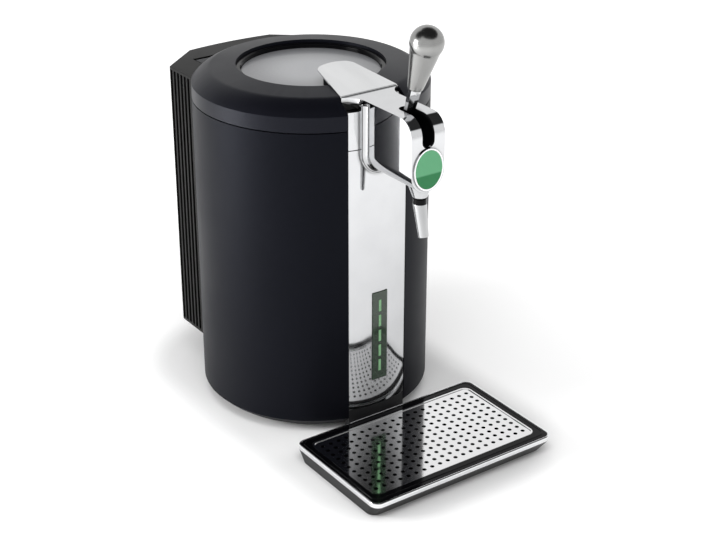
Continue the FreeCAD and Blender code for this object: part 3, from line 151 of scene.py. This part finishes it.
def uneven_surface_group():
    """Slow change of colour and gloss over a surface: handling, dust and flow marks."""
    group, source, result = new_group(
        "uneven_surface",
        [
            ("Colour", COLOUR, (0.1, 0.1, 0.1, 1)),
            ("Second Colour", COLOUR, (0.12, 0.12, 0.12, 1)),
            ("Low Roughness", FLOAT, 0.3),
            ("High Roughness", FLOAT, 0.4),
            ("Scale", FLOAT, 12.0),
            ("Stretch", VECTOR, (1, 1, 1)),
        ],
        [("Colour", COLOUR), ("Roughness", FLOAT)],
    )
    link = group.links.new
    noise = stretched_noise(group, source, 4.0)
    ramp = group.nodes.new("ShaderNodeMapRange")
    ramp.inputs["From Min"].default_value = noise_low
    ramp.inputs["From Max"].default_value = noise_high
    link(noise.outputs["Fac"], ramp.inputs["Value"])
    mix = group.nodes.new("ShaderNodeMix")
    mix.data_type = "RGBA"
    link(ramp.outputs["Result"], mix.inputs["Factor"])
    link(source.outputs["Colour"], mix.inputs["A"])
    link(source.outputs["Second Colour"], mix.inputs["B"])
    gloss = group.nodes.new("ShaderNodeMapRange")
    link(ramp.outputs["Result"], gloss.inputs["Value"])
    link(source.outputs["Low Roughness"], gloss.inputs["To Min"])
    link(source.outputs["High Roughness"], gloss.inputs["To Max"])
    link(mix.outputs["Result"], result.inputs["Colour"])
    link(gloss.outputs["Result"], result.inputs["Roughness"])
    return group


def grain_group():
    """Height of a fine grain: moulded texture, orange peel or brushing, by its scale and stretch."""
    group, source, result = new_group(
        "grain",
        [("Scale", FLOAT, 900.0), ("Stretch", VECTOR, (1, 1, 1))],
        [("Height", FLOAT)],
    )
    noise = stretched_noise(group, source, 2.0)
    group.links.new(noise.outputs["Fac"], result.inputs["Height"])
    return group


def painted_crease_shade_group():
    """Painted shade: colour that goes dark where another surface stands close, in grooves, seams and tight
    corners.
    """
    group, source, result = new_group(
        "painted_crease_shade",
        [
            ("Colour", COLOUR, (0.8, 0.8, 0.8, 1)),
            ("Painted Shade Colour", COLOUR, (0.1, 0.1, 0.1, 1)),
            ("Reach", FLOAT, 0.006),
        ],
        [("Colour", COLOUR)],
    )
    link = group.links.new
    open_sky = group.nodes.new("ShaderNodeAmbientOcclusion")
    open_sky.samples = crease_shade_samples
    link(source.outputs["Reach"], open_sky.inputs["Distance"])
    ramp = group.nodes.new("ShaderNodeMapRange")
    ramp.inputs["From Min"].default_value = crease_shade_closed
    ramp.inputs["From Max"].default_value = crease_shade_open
    link(open_sky.outputs["AO"], ramp.inputs["Value"])
    mix = group.nodes.new("ShaderNodeMix")
    mix.data_type = "RGBA"
    link(ramp.outputs["Result"], mix.inputs["Factor"])
    link(source.outputs["Painted Shade Colour"], mix.inputs["A"])
    link(source.outputs["Colour"], mix.inputs["B"])
    link(mix.outputs["Result"], result.inputs["Colour"])
    return group


uneven_surface = uneven_surface_group()
grain = grain_group()
painted_crease_shade = painted_crease_shade_group()


# ---------------------------------------------------------------- materials
def new_material(name):
    material = bpy.data.materials.new(name)
    material.use_nodes = True
    shader = material.node_tree.nodes["Principled BSDF"]
    return material, material.node_tree, shader


def add_grain(tree, shader, scale, height, stretch=(1, 1, 1)):
    grained = tree.nodes.new("ShaderNodeGroup")
    grained.node_tree = grain
    grained.inputs["Scale"].default_value = scale
    grained.inputs["Stretch"].default_value = stretch
    bump = tree.nodes.new("ShaderNodeBump")
    bump.inputs["Strength"].default_value = 1.0
    bump.inputs["Distance"].default_value = height
    tree.links.new(grained.outputs["Height"], bump.inputs["Height"])
    tree.links.new(bump.outputs["Normal"], shader.inputs["Normal"])


def add_unevenness(tree, shader, colour, second, rough, scale, stretch=(1, 1, 1)):
    uneven = tree.nodes.new("ShaderNodeGroup")
    uneven.node_tree = uneven_surface
    uneven.inputs["Colour"].default_value = (*colour, 1)
    uneven.inputs["Second Colour"].default_value = (*second, 1)
    uneven.inputs["Low Roughness"].default_value = rough[0]
    uneven.inputs["High Roughness"].default_value = rough[1]
    uneven.inputs["Scale"].default_value = scale
    uneven.inputs["Stretch"].default_value = stretch
    tree.links.new(uneven.outputs["Colour"], shader.inputs["Base Color"])
    tree.links.new(uneven.outputs["Roughness"], shader.inputs["Roughness"])


def add_painted_crease_shade(tree, shader, tone, reach):
    """Paint shade into the base colour in grooves and corners."""
    shade = tree.nodes.new("ShaderNodeGroup")
    shade.node_tree = painted_crease_shade
    shade.inputs["Painted Shade Colour"].default_value = (tone, tone, tone, 1)
    shade.inputs["Reach"].default_value = reach
    before = shader.inputs["Base Color"].links[0].from_socket
    tree.links.new(before, shade.inputs["Colour"])
    tree.links.new(shade.outputs["Colour"], shader.inputs["Base Color"])


def surface(
    name, colour, second, rough, spread=12,
    specular=0.5, ior=1.5, sheen_tint=(1, 1, 1, 1), coat=0, metallic=0,
    grain_size=None, grain_height=0.0, stretch=(1, 1, 1), crease_shade_tone=0.0, crease_shade_reach=None,
):
    """A finish: two close colours, a range of roughness, and a fine grain. Lengths are in millimetres."""
    material, tree, shader = new_material(name)
    add_unevenness(tree, shader, colour, second, rough, spread, stretch)
    shader.inputs["Metallic"].default_value = metallic
    shader.inputs["Specular IOR Level"].default_value = specular
    shader.inputs["IOR"].default_value = ior
    shader.inputs["Specular Tint"].default_value = sheen_tint
    shader.inputs["Coat Weight"].default_value = coat
    shader.inputs["Coat Roughness"].default_value = 0.05
    if grain_size:
        add_grain(tree, shader, 1 / (grain_size * MM), grain_height * MM, stretch)
    # Painted shade in grooves and corners.
    if crease_shade_reach:
        add_painted_crease_shade(tree, shader, crease_shade_tone, crease_shade_reach * MM)
    return material


def frosted_window():
    """Translucent frosted plastic with fine rings, with painted light that makes it lighter in the middle
    and painted shade that makes it darker towards its rim.
    """
    material, tree, shader = new_material("frosted_window")
    nodes, link = tree.nodes, tree.links.new
    centre = middle("lid_window")
    _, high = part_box("lid_window")
    place = nodes.new("ShaderNodeTexCoord")
    offset = nodes.new("ShaderNodeVectorMath")
    offset.operation = "SUBTRACT"
    offset.inputs[1].default_value = centre
    link(place.outputs["Object"], offset.inputs[0])
    out = nodes.new("ShaderNodeVectorMath")
    out.operation = "LENGTH"
    link(offset.outputs["Vector"], out.inputs[0])
    rim_shade_mask = nodes.new("ShaderNodeMapRange")
    rim_shade_mask.interpolation_type = "SMOOTHSTEP"
    radius = high.x - centre.x
    rim_shade_mask.inputs["From Min"].default_value = window_lit_core * radius
    rim_shade_mask.inputs["From Max"].default_value = radius
    link(out.outputs["Value"], rim_shade_mask.inputs["Value"])
    rings = nodes.new("ShaderNodeTexWave")
    rings.wave_type = "RINGS"
    rings.rings_direction = "Z"
    rings.inputs["Scale"].default_value = 1 / (window_ring_gap * MM)
    rings.inputs["Distortion"].default_value = 1.5
    rings.inputs["Detail Scale"].default_value = 40
    link(offset.outputs["Vector"], rings.inputs["Vector"])
    # Painted highlight in the middle of the window, painted shade at its rim.
    painted_light_middle_tones = (0.26, 0.265, 0.28, 1), (0.44, 0.445, 0.46, 1)
    painted_shade_rim_tones = (0.12, 0.122, 0.13, 1), (0.22, 0.223, 0.235, 1)
    shades = []
    for dark, light in (painted_light_middle_tones, painted_shade_rim_tones):
        shade = nodes.new("ShaderNodeMix")
        shade.data_type = "RGBA"
        shade.inputs["A"].default_value = dark
        shade.inputs["B"].default_value = light
        link(rings.outputs["Fac"], shade.inputs["Factor"])
        shades.append(shade)
    mix = nodes.new("ShaderNodeMix")
    mix.data_type = "RGBA"
    link(rim_shade_mask.outputs["Result"], mix.inputs["Factor"])
    link(shades[0].outputs["Result"], mix.inputs["A"])
    link(shades[1].outputs["Result"], mix.inputs["B"])
    link(mix.outputs["Result"], shader.inputs["Base Color"])
    shader.inputs["Roughness"].default_value = 0.36
    add_grain(tree, shader, 700, 0.04 * MM)
    shader.inputs["Coat Weight"].default_value = 0.4
    shader.inputs["Coat Roughness"].default_value = 0.12
    return material


def lit_bar():
    material, tree, shader = new_material("lit_bar")
    add_unevenness(tree, shader, (0.17, 0.36, 0.18), (0.22, 0.43, 0.23), (0.3, 0.4), 400)
    shader.inputs["Emission Color"].default_value = (0.35, 0.75, 0.36, 1)
    shader.inputs["Emission Strength"].default_value = 0.12
    return material


def badge_face():
    """Two plain greens, the darker one below."""
    material, tree, shader = new_material("badge_face")
    nodes, link = tree.nodes, tree.links.new
    place = nodes.new("ShaderNodeTexCoord")
    split = nodes.new("ShaderNodeSeparateXYZ")
    link(place.outputs["Object"], split.inputs["Vector"])
    height = badge_high.z - badge_low.z
    line = nodes.new("ShaderNodeMapRange")
    line.inputs["From Min"].default_value = badge_low.z + badge_line_low * height
    line.inputs["From Max"].default_value = badge_low.z + badge_line_high * height
    link(split.outputs["Z"], line.inputs["Value"])
    mix = nodes.new("ShaderNodeMix")
    mix.data_type = "RGBA"
    mix.inputs["A"].default_value = (0.012, 0.21, 0.062, 1)
    mix.inputs["B"].default_value = (0.13, 0.45, 0.22, 1)
    link(line.outputs["Result"], mix.inputs["Factor"])
    link(mix.outputs["Result"], shader.inputs["Base Color"])
    add_grain(tree, shader, 900, 0.01 * MM)
    shader.inputs["Roughness"].default_value = 0.3
    shader.inputs["Specular IOR Level"].default_value = 0.2
    shader.inputs["Coat Weight"].default_value = 0.3
    shader.inputs["Coat Roughness"].default_value = 0.04
    return material


finishes = {
    "shell_paint": surface(
        "shell_paint", (0.0017, 0.0018, 0.0030), (0.0022, 0.0023, 0.0038), (0.44, 0.5),
        specular=0.11, grain_size=0.35, grain_height=0.004, sheen_tint=(0.72, 0.78, 1, 1),
    ),
    "lid_black": surface(
        "lid_black", (0.0035, 0.0037, 0.0060), (0.0045, 0.0047, 0.0074), (0.36, 0.42),
        specular=0.17, grain_size=0.3, grain_height=0.004, sheen_tint=(0.8, 0.84, 1, 1),
    ),
    "gloss_black": surface(
        "gloss_black", (0.0012, 0.0012, 0.0016), (0.002, 0.002, 0.0026), (0.06, 0.1),
        specular=0.5, ior=1.2, grain_size=2.5, grain_height=0.002,
    ),
    "base_black": surface(
        "base_black", (0.012, 0.012, 0.013), (0.016, 0.016, 0.017), (0.45, 0.55),
        specular=0.35, grain_size=0.4, grain_height=0.01,
    ),
    "housing_grey": surface(
        "housing_grey", (0.004, 0.004, 0.0039), (0.0055, 0.0055, 0.0054), (0.42, 0.5),
        specular=0.12, grain_size=0.4, grain_height=0.008,
    ),
    "grille_black": surface(
        "grille_black", (0.004, 0.004, 0.004), (0.006, 0.006, 0.006), (0.45, 0.55),
        specular=0.1, grain_size=0.4, grain_height=0.008,
    ),
    # Chrome with painted shade in its creases and grooves.
    "tap_chrome": surface(
        "tap_chrome", (0.61, 0.615, 0.625), (0.64, 0.645, 0.655), (0.03, 0.06),
        spread=30, metallic=1, grain_size=9, grain_height=0.0006, crease_shade_tone=0.03, crease_shade_reach=9,
    ),
    "tube_satin": surface(
        "tube_satin", (0.42, 0.425, 0.43), (0.48, 0.485, 0.49), (0.13, 0.19),
        spread=40, metallic=1, grain_size=0.2, grain_height=0.0006, stretch=(0.1, 0.1, 1),
    ),
    "tongue_satin": surface(
        "tongue_satin", (0.68, 0.685, 0.69), (0.76, 0.765, 0.77), (0.15, 0.22),
        spread=40, metallic=1, grain_size=0.25, grain_height=0.0008, stretch=(1, 0.06, 1),
    ),
    "arm_inside": surface(
        "arm_inside", (0.004, 0.004, 0.005), (0.007, 0.007, 0.008), (0.4, 0.5),
        specular=0.1, grain_size=0.5, grain_height=0.006,
    ),
    # Chrome with painted shade in its creases and grooves.
    "panel_chrome": surface(
        "panel_chrome", (0.58, 0.585, 0.595), (0.61, 0.615, 0.625), (0.05, 0.09),
        spread=30, metallic=1, grain_size=12, grain_height=0.0006, crease_shade_tone=0.05, crease_shade_reach=4,
    ),
    "trim_chrome": surface(
        "trim_chrome", (0.78, 0.785, 0.795), (0.82, 0.825, 0.835), (0.05, 0.1),
        spread=40, metallic=1, grain_size=9, grain_height=0.0006,
    ),
    "satin_chrome": surface(
        "satin_chrome", (0.30, 0.30, 0.295), (0.35, 0.35, 0.345), (0.2, 0.26),
        spread=40, metallic=1, grain_size=0.25, grain_height=0.0005, stretch=(1, 1, 0.15),
    ),
    "grid_steel": surface(
        "grid_steel", (0.76, 0.76, 0.765), (0.82, 0.82, 0.825), (0.05, 0.09),
        spread=25, metallic=1, grain_size=0.4, grain_height=0.0008, stretch=(0.06, 1, 1),
    ),
    "well_aluminium": surface(
        "well_aluminium", (0.6, 0.605, 0.61), (0.66, 0.665, 0.67), (0.25, 0.35),
        spread=20, metallic=1, grain_size=0.4, grain_height=0.002, stretch=(1, 1, 0.1),
    ),
    "bare_aluminium": surface(
        "bare_aluminium", (0.5, 0.505, 0.51), (0.56, 0.565, 0.57), (0.35, 0.5),
        spread=30, metallic=1, grain_size=0.3, grain_height=0.004, stretch=(1, 1, 0.08),
    ),
    "pin_steel": surface(
        "pin_steel", (0.45, 0.455, 0.46), (0.52, 0.525, 0.53), (0.22, 0.34),
        spread=60, metallic=1, grain_size=0.2, grain_height=0.002,
    ),
    "window_frost": frosted_window(),
    "foam_grey": surface(
        "foam_grey", (0.5, 0.51, 0.53), (0.58, 0.59, 0.61), (0.85, 0.95),
        spread=60, specular=0.2, grain_size=1.6, grain_height=0.15,
    ),
    "inner_plastic": surface(
        "inner_plastic", (0.22, 0.225, 0.235), (0.26, 0.265, 0.275), (0.4, 0.5),
        grain_size=0.5, grain_height=0.01,
    ),
    "seal_rubber": surface(
        "seal_rubber", (0.016, 0.016, 0.016), (0.022, 0.022, 0.022), (0.6, 0.75),
        spread=50, specular=0.3, grain_size=0.3, grain_height=0.01,
    ),
    "foot_rubber": surface(
        "foot_rubber", (0.014, 0.014, 0.014), (0.024, 0.024, 0.023), (0.65, 0.8),
        spread=80, specular=0.3, grain_size=0.3, grain_height=0.012,
    ),
    "board_green": surface(
        "board_green", (0.012, 0.09, 0.03), (0.018, 0.12, 0.04), (0.3, 0.45),
        spread=200, coat=0.5, grain_size=1.2, grain_height=0.02,
    ),
    "indicator_dark": surface(
        "indicator_dark", (0.016, 0.036, 0.018), (0.02, 0.045, 0.023), (0.15, 0.2),
        spread=60, coat=0.5, grain_size=1.5, grain_height=0.001,
    ),
    "indicator_light": lit_bar(),
    "badge_green": badge_face(),
    "valve_plastic": surface(
        "valve_plastic", (0.012, 0.012, 0.013), (0.018, 0.018, 0.019), (0.4, 0.5),
        spread=80, grain_size=0.4, grain_height=0.008,
    ),
    "ceramic_white": surface(
        "ceramic_white", (0.72, 0.72, 0.7), (0.78, 0.78, 0.76), (0.5, 0.6),
        spread=120, grain_size=0.3, grain_height=0.006,
    ),
    "supply_grey": surface(
        "supply_grey", (0.16, 0.16, 0.165), (0.2, 0.2, 0.205), (0.4, 0.5),
        spread=40, grain_size=0.5, grain_height=0.01,
    ),
    "fan_black": surface(
        "fan_black", (0.012, 0.012, 0.012), (0.017, 0.017, 0.017), (0.35, 0.45),
        spread=40, grain_size=0.5, grain_height=0.006,
    ),
    "switch_black": surface(
        "switch_black", (0.012, 0.012, 0.012), (0.018, 0.018, 0.018), (0.25, 0.35),
        spread=120, grain_size=0.4, grain_height=0.006,
    ),
}


# ---------------------------------------------------------------- pieces
def dress(piece, body, slot, finish=None):
    """Give a piece its body, and the finish of its material slot or the finish named."""
    piece.data.materials.clear()
    piece.data.materials.append(finishes[finish or slot])
    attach(piece, body)
    return piece


def body_of_node(node):
    for body, members in frame["record"]["behaviour"]["bodies"].items():
        if node in members:
            return body


def clean_copy(node, whole_faces):
    """The node's mesh with its points shared, and its flat faces whole where wanted, ready for a bevel."""
    mesh = bpy.data.meshes.new(node + "_soft")
    work = bmesh.new()
    work.from_mesh(frame["nodes"][node].data)
    bmesh.ops.remove_doubles(work, verts=work.verts, dist=weld_gap * MM)
    if whole_faces:
        flat = math.radians(flat_angle)
        bmesh.ops.dissolve_limit(work, angle_limit=flat, verts=work.verts, edges=work.edges)
    for face in work.faces:
        face.smooth = True
    for edge in work.edges:
        edge.smooth = True
    work.to_mesh(mesh)
    work.free()
    for left_over in ("custom_normal", "sharp_edge", "sharp_face"):
        if left_over in mesh.attributes:
            mesh.attributes.remove(mesh.attributes[left_over])
    return mesh


def softened(node, width, segments=3, limit=30, finish=None, whole_faces=True):
    """The node with rounded edges, in its place."""
    piece = bpy.data.objects.new(node + "_soft", clean_copy(node, whole_faces))
    bpy.context.scene.collection.objects.link(piece)
    bevel = piece.modifiers.new("edges", "BEVEL")
    bevel.width = width * MM
    bevel.segments = segments
    bevel.limit_method = "ANGLE"
    bevel.angle_limit = math.radians(limit)
    bevel.harden_normals = False
    bevel.miter_outer = "MITER_ARC"
    normals = piece.modifiers.new("shading", "WEIGHTED_NORMAL")
    normals.keep_sharp = False
    normals.weight = 80
    dress(piece, body_of_node(node), node_slot[node], finish)
    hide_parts(node)
    return piece


def face_tree(mesh):
    return BVHTree.FromPolygons([v.co for v in mesh.vertices], [f.vertices for f in mesh.polygons])


def blacken_arm_inside(arm):
    """Give the walls inside the hollow arm, and those of its slot, the plain dark finish."""
    mesh = arm.data
    mesh.materials.append(finishes["arm_inside"])
    walls = face_tree(mesh)
    skin = 1 * MM
    step_off, facing_reach = 0.2 * MM, 60 * MM
    half_width = arm_half_width * MM - skin
    front, back, top = arm_low.y + skin, shell_low.y - arm_root_back * MM, arm_high.z - skin
    for face in mesh.polygons:
        spot = face.center
        within = abs(spot.x) < half_width and front < spot.y < back and spot.z < top
        if within and walls.ray_cast(spot + face.normal * step_off, face.normal, facing_reach)[0]:
            face.material_index = 1


def place_on(node, x, z):
    """The outermost point of a node as met from behind, and the way its surface faces there."""
    well_behind = 0.4
    start = Vector((x, well_behind, z))
    point, normal, _, _ = face_tree(frame["nodes"][node].data).ray_cast(start, Vector((0, -1, 0)))
    return point, normal


def mesh_piece(name, work, body, slot, finish=None):
    """An object from a finished bmesh, dressed."""
    mesh = bpy.data.meshes.new(name)
    bmesh.ops.recalc_face_normals(work, faces=work.faces)
    work.to_mesh(mesh)
    work.free()
    piece = bpy.data.objects.new(name, mesh)
    bpy.context.scene.collection.objects.link(piece)
    return dress(piece, body, slot, finish)


def screw_head(work, point, normal, radius):
    """Pan head with a cross recess, sitting on a surface. Its profile is given in shares of its radius."""
    turn = normal.to_track_quat("Z", "Y").to_matrix()

    def vert(x, y, rise):
        return work.verts.new(point + turn @ Vector((x, y, rise)) * radius)

    rim = 24
    top_rise = 0.52
    rings = [(1.0, 0.0), (1.0, 0.25), (0.88, 0.42), (0.62, top_rise)]
    rows = []
    for share, rise in rings:
        angles = [2 * math.pi * i / rim for i in range(rim)]
        rows.append([vert(math.cos(a) * share, math.sin(a) * share, rise) for a in angles])
    for low_row, high_row in zip(rows, rows[1:]):
        for i in range(rim):
            j = (i + 1) % rim
            work.faces.new((low_row[i], low_row[j], high_row[j], high_row[i])).smooth = True
    arm, width, recess_rise = 0.46, 0.14, 0.1
    cross = [
        (arm, -width), (arm, width), (width, width), (width, arm), (-width, arm), (-width, width),
        (-arm, width), (-arm, -width), (-width, -width), (-width, -arm), (width, -arm), (width, -width),
    ]
    top = [vert(x, y, top_rise) for x, y in cross]
    recess = [vert(x, y, recess_rise) for x, y in cross]
    for i in range(len(cross)):
        j = (i + 1) % len(cross)
        work.faces.new((top[j], top[i], recess[i], recess[j]))
    work.faces.new(recess)
    work.faces.new(list(reversed(rows[0])))
    edges = [work.edges.get((rows[-1][i], rows[-1][(i + 1) % rim])) for i in range(rim)]
    edges += [work.edges.get((top[i], top[(i + 1) % len(cross)])) for i in range(len(cross))]
    bmesh.ops.triangle_fill(work, edges=edges, use_beauty=True, use_dissolve=False)


def housing_screws():
    """Screws that hold the rear housing and its grille."""
    work = bmesh.new()
    low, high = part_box("rear_grille")
    out = screw_inset * MM
    for x in (low.x - out, high.x + out):
        for z in (low.z - out, (low.z + high.z) / 2, high.z + out):
            point, normal = place_on("rear_housing", x, z)
            screw_head(work, point, normal, screw_radius * MM)
    return mesh_piece("housing_screws", work, "machine", "pin_steel")


def add_block(work, low, high, edge_round):
    """A block between two corners, with rounded edges."""
    made = bmesh.ops.create_cube(work, size=1)["verts"]
    for vert in made:
        for axis in range(3):
            vert.co[axis] = low[axis] if vert.co[axis] < 0 else high[axis]
    edges = list({e for v in made for e in v.link_edges})
    bmesh.ops.bevel(work, geom=edges, offset=edge_round, segments=2, affect="EDGES")


def inlet_contacts():
    """Three flat contacts in the mains inlet, the middle one higher."""
    _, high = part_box("power_inlet")
    centre = middle("power_inlet")
    recess, _ = place_on("power_inlet", centre.x, centre.z)
    half_width, half_height, length = 1 * MM, 2 * MM, 10 * MM
    rooted, below_mouth, edge_round = 0.5 * MM, 2 * MM, 0.35 * MM
    work = bmesh.new()
    for x, z in ((-7, -1.5), (0, 2.5), (7, -1.5)):
        x0, z0 = centre.x + x * MM, centre.z + z * MM
        low_corner = (x0 - half_width, recess.y - rooted, z0 - half_height)
        high_corner = (x0 + half_width, min(recess.y + length, high.y - below_mouth), z0 + half_height)
        add_block(work, low_corner, high_corner, edge_round)
    return mesh_piece("inlet_contacts", work, "machine", "pin_steel")


def tray_bead():
    """Raised bead on the tray's rim, round the plate."""
    low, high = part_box("tray_pan")
    corner = bead_corner * MM
    side, front, back = 5.2 * MM, 7.5 * MM, 4.4 * MM
    x, y0, y1 = high.x - side - corner, low.y + front + corner, high.y - back - corner
    z = high.z - bead_sunk * MM
    path = bpy.data.curves.new("tray_bead", "CURVE")
    path.dimensions = "3D"
    path.bevel_depth = bead_radius * MM
    path.bevel_resolution = 3
    line = path.splines.new("POLY")
    corners = ((x, y0, 270), (x, y1, 0), (-x, y1, 90), (-x, y0, 180))
    steps = 8
    points = []
    for cx, cy, start in corners:
        for i in range(steps + 1):
            turn = math.radians(start + 90 * i / steps)
            points.append((cx + corner * math.cos(turn), cy + corner * math.sin(turn), z, 1))
    line.points.add(len(points) - 1)
    for point, place in zip(line.points, points):
        point.co = place
    line.use_cyclic_u = True
    bead = bpy.data.objects.new("tray_bead", path)
    bpy.context.scene.collection.objects.link(bead)
    return dress(bead, "tray", "gloss_black")


# Radius of the edges of the pieces that keep their own finish, in millimetres.
edge_widths = {
    "outer_shell": 0.5,
    "lid_ring": 0.5,
    "window_bezel": 0.3,
    "lid_window": 0.3,
    "handle_base": 0.6,
    "front_panel": 0.3,
    "front_panel_top": 0.3,
    "tray_dock": 0.5,
    "spout_neck": 0.3,
    "lever_stem": 0.25,
    "rear_grille": 0.3,
    "tray_pan": 0.6,
    "tray_trim": 0.3,
    "hinge_bracket": 0.4,
    "power_inlet": 0.3,
    "switch_frame": 0.4,
    "power_rocker": 0.4,
}
for node, width in edge_widths.items():
    softened(node, width)
softened("lever_grip", 2.5, segments=6, limit=12, finish="satin_chrome")
softened("rear_housing", 0.5, whole_faces=False)
softened("indicator_frame", 0.3, whole_faces=False)
softened("lid_handle", 0.7, finish="tongue_satin")
softened("spout_tube", 0.5, finish="tube_satin")
softened("spout_collar", 0.5, finish="gloss_black")
blacken_arm_inside(softened("tap_arm", 0.9))
tray_bead()
housing_screws()
inlet_contacts()

for node, piece in frame["nodes"].items():
    if piece.hide_render:
        continue
    piece.data.materials.clear()
    piece.data.materials.append(finishes[node_slot[node]])


# ---------------------------------------------------------------- floor, light and camera
def seen_directly(tree):
    """1 for rays from the eye, from metal and through glass, 0 for the light that the surface gives."""
    path = tree.nodes.new("ShaderNodeLightPath")
    first = tree.nodes.new("ShaderNodeMath")
    first.operation = "MAXIMUM"
    second = tree.nodes.new("ShaderNodeMath")
    second.operation = "MAXIMUM"
    tree.links.new(path.outputs["Is Camera Ray"], first.inputs[0])
    tree.links.new(path.outputs["Is Glossy Ray"], first.inputs[1])
    tree.links.new(first.outputs["Value"], second.inputs[0])
    tree.links.new(path.outputs["Is Transmission Ray"], second.inputs[1])
    return second.outputs["Value"]


def distance_to_machine(tree):
    """How far a point of the floor lies from the oblong that the machine and its tray cover."""
    low, high = cad_box
    inset = Vector(((high.x - low.x) / 2 - glow_corner, (high.y - low.y) / 2 - glow_corner, 0))
    place = tree.nodes.new("ShaderNodeTexCoord")
    last = place.outputs["Object"]
    steps = [
        ("SUBTRACT", ((low.x + high.x) / 2, (low.y + high.y) / 2, 0)),
        ("ABSOLUTE", None),
        ("SUBTRACT", inset),
        ("MAXIMUM", (0, 0, 0)),
    ]
    for operation, value in steps:
        step = tree.nodes.new("ShaderNodeVectorMath")
        step.operation = operation
        tree.links.new(last, step.inputs[0])
        if value is not None:
            step.inputs[1].default_value = value
        last = step.outputs[0]
    length = tree.nodes.new("ShaderNodeVectorMath")
    length.operation = "LENGTH"
    tree.links.new(last, length.inputs[0])
    beyond = tree.nodes.new("ShaderNodeMath")
    beyond.operation = "SUBTRACT"
    beyond.inputs[1].default_value = glow_corner
    tree.links.new(length.outputs["Value"], beyond.inputs[0])
    return beyond.outputs["Value"]


def floor():
    """White floor that keeps the machine's shadow and runs out into plain white: a painted glow rises with
    distance from the machine and leaves painted shade round it.
    """
    mesh = bpy.data.meshes.new("floor")
    mesh.from_pydata(
        [
            (-floor_size, -floor_size, 0),
            (floor_size, -floor_size, 0),
            (floor_size, floor_size, 0),
            (-floor_size, floor_size, 0),
        ],
        [],
        [(0, 1, 2, 3)],
    )
    ground = bpy.data.objects.new("floor", mesh)
    bpy.context.scene.collection.objects.link(ground)
    material, tree, shader = new_material("floor_white")
    nodes, link = tree.nodes, tree.links.new
    shader.inputs["Base Color"].default_value = (0.9, 0.9, 0.9, 1)
    shader.inputs["Roughness"].default_value = 0.7
    shader.inputs["Specular IOR Level"].default_value = 0.1
    distance = distance_to_machine(tree)
    # Painted light on the floor, weaker next to the machine, so painted shade stays round it.
    painted_glow = nodes.new("ShaderNodeMath")
    painted_glow.operation = "ADD"
    for i, (start, end, amount) in enumerate(painted_floor_glows):
        part = nodes.new("ShaderNodeMapRange")
        part.interpolation_type = "SMOOTHSTEP"
        part.inputs["From Min"].default_value = start
        part.inputs["From Max"].default_value = end
        part.inputs["To Max"].default_value = amount
        link(distance, part.inputs["Value"])
        link(part.outputs["Result"], painted_glow.inputs[i])
    strength = nodes.new("ShaderNodeMath")
    strength.operation = "MULTIPLY"
    link(painted_glow.outputs["Value"], strength.inputs[0])
    link(seen_directly(tree), strength.inputs[1])
    emission = nodes.new("ShaderNodeEmission")
    link(strength.outputs["Value"], emission.inputs["Strength"])
    both = nodes.new("ShaderNodeAddShader")
    link(shader.outputs["BSDF"], both.inputs[0])
    link(emission.outputs["Emission"], both.inputs[1])
    link(both.outputs["Shader"], nodes["Material Output"].inputs["Surface"])
    mesh.materials.append(material)


def softbox(name, place, target, width, height, power, mirrored):
    lamp = bpy.data.lights.new(name, "AREA")
    lamp.shape = "RECTANGLE"
    lamp.size = width
    lamp.size_y = height
    lamp.energy = power
    holder = bpy.data.objects.new(name, lamp)
    holder.location = place
    holder.rotation_euler = (Vector(target) - Vector(place)).to_track_quat("-Z", "Y").to_euler()
    holder.visible_glossy = mirrored
    bpy.context.scene.collection.objects.link(holder)


def studio_world():
    """An even fill on the machine. To the eye and to metal the room is white, but dark above the front."""
    world = bpy.data.worlds.new("studio")
    bpy.context.scene.world = world
    world.use_nodes = True
    tree = world.node_tree
    nodes, link = tree.nodes, tree.links.new
    fill = nodes["Background"]
    fill.inputs["Color"].default_value = (1, 1, 1, 1)
    fill.inputs["Strength"].default_value = fill_strength
    direction = nodes.new("ShaderNodeTexCoord")
    whites = []
    for axis, core, edge in dark_parts:
        towards = nodes.new("ShaderNodeVectorMath")
        towards.operation = "DOT_PRODUCT"
        towards.inputs[1].default_value = axis
        link(direction.outputs["Generated"], towards.inputs[0])
        white = nodes.new("ShaderNodeMapRange")
        white.interpolation_type = "SMOOTHSTEP"
        white.inputs["From Min"].default_value = math.cos(math.radians(edge))
        white.inputs["From Max"].default_value = math.cos(math.radians(core))
        white.inputs["To Min"].default_value = 1.0
        white.inputs["To Max"].default_value = dark_tone
        link(towards.outputs["Value"], white.inputs["Value"])
        whites.append(white)
    darker = nodes.new("ShaderNodeMath")
    darker.operation = "MINIMUM"
    for i, white in enumerate(whites):
        link(white.outputs["Result"], darker.inputs[i])
    seen = nodes.new("ShaderNodeBackground")
    seen.inputs["Color"].default_value = (1, 1, 1, 1)
    link(darker.outputs["Value"], seen.inputs["Strength"])
    mix = nodes.new("ShaderNodeMixShader")
    link(seen_directly(tree), mix.inputs["Fac"])
    link(fill.outputs["Background"], mix.inputs[1])
    link(seen.outputs["Background"], mix.inputs[2])
    link(mix.outputs["Shader"], nodes["World Output"].inputs["Surface"])


def camera():
    lens = bpy.data.cameras.new("camera")
    lens.sensor_width = sensor_width
    lens.lens = lens_length
    eye = bpy.data.objects.new("camera", lens)
    eye.location = (-eye_left, body_axis_y - eye_ahead, eye_height)
    eye.rotation_euler = (math.radians(90 - eye_down), 0, math.radians(-eye_turn))
    bpy.context.scene.collection.objects.link(eye)
    bpy.context.scene.camera = eye


floor()
for lamp_row in lamps:
    softbox(*lamp_row)
studio_world()
camera()
bpy.context.scene.view_settings.view_transform = "Standard"
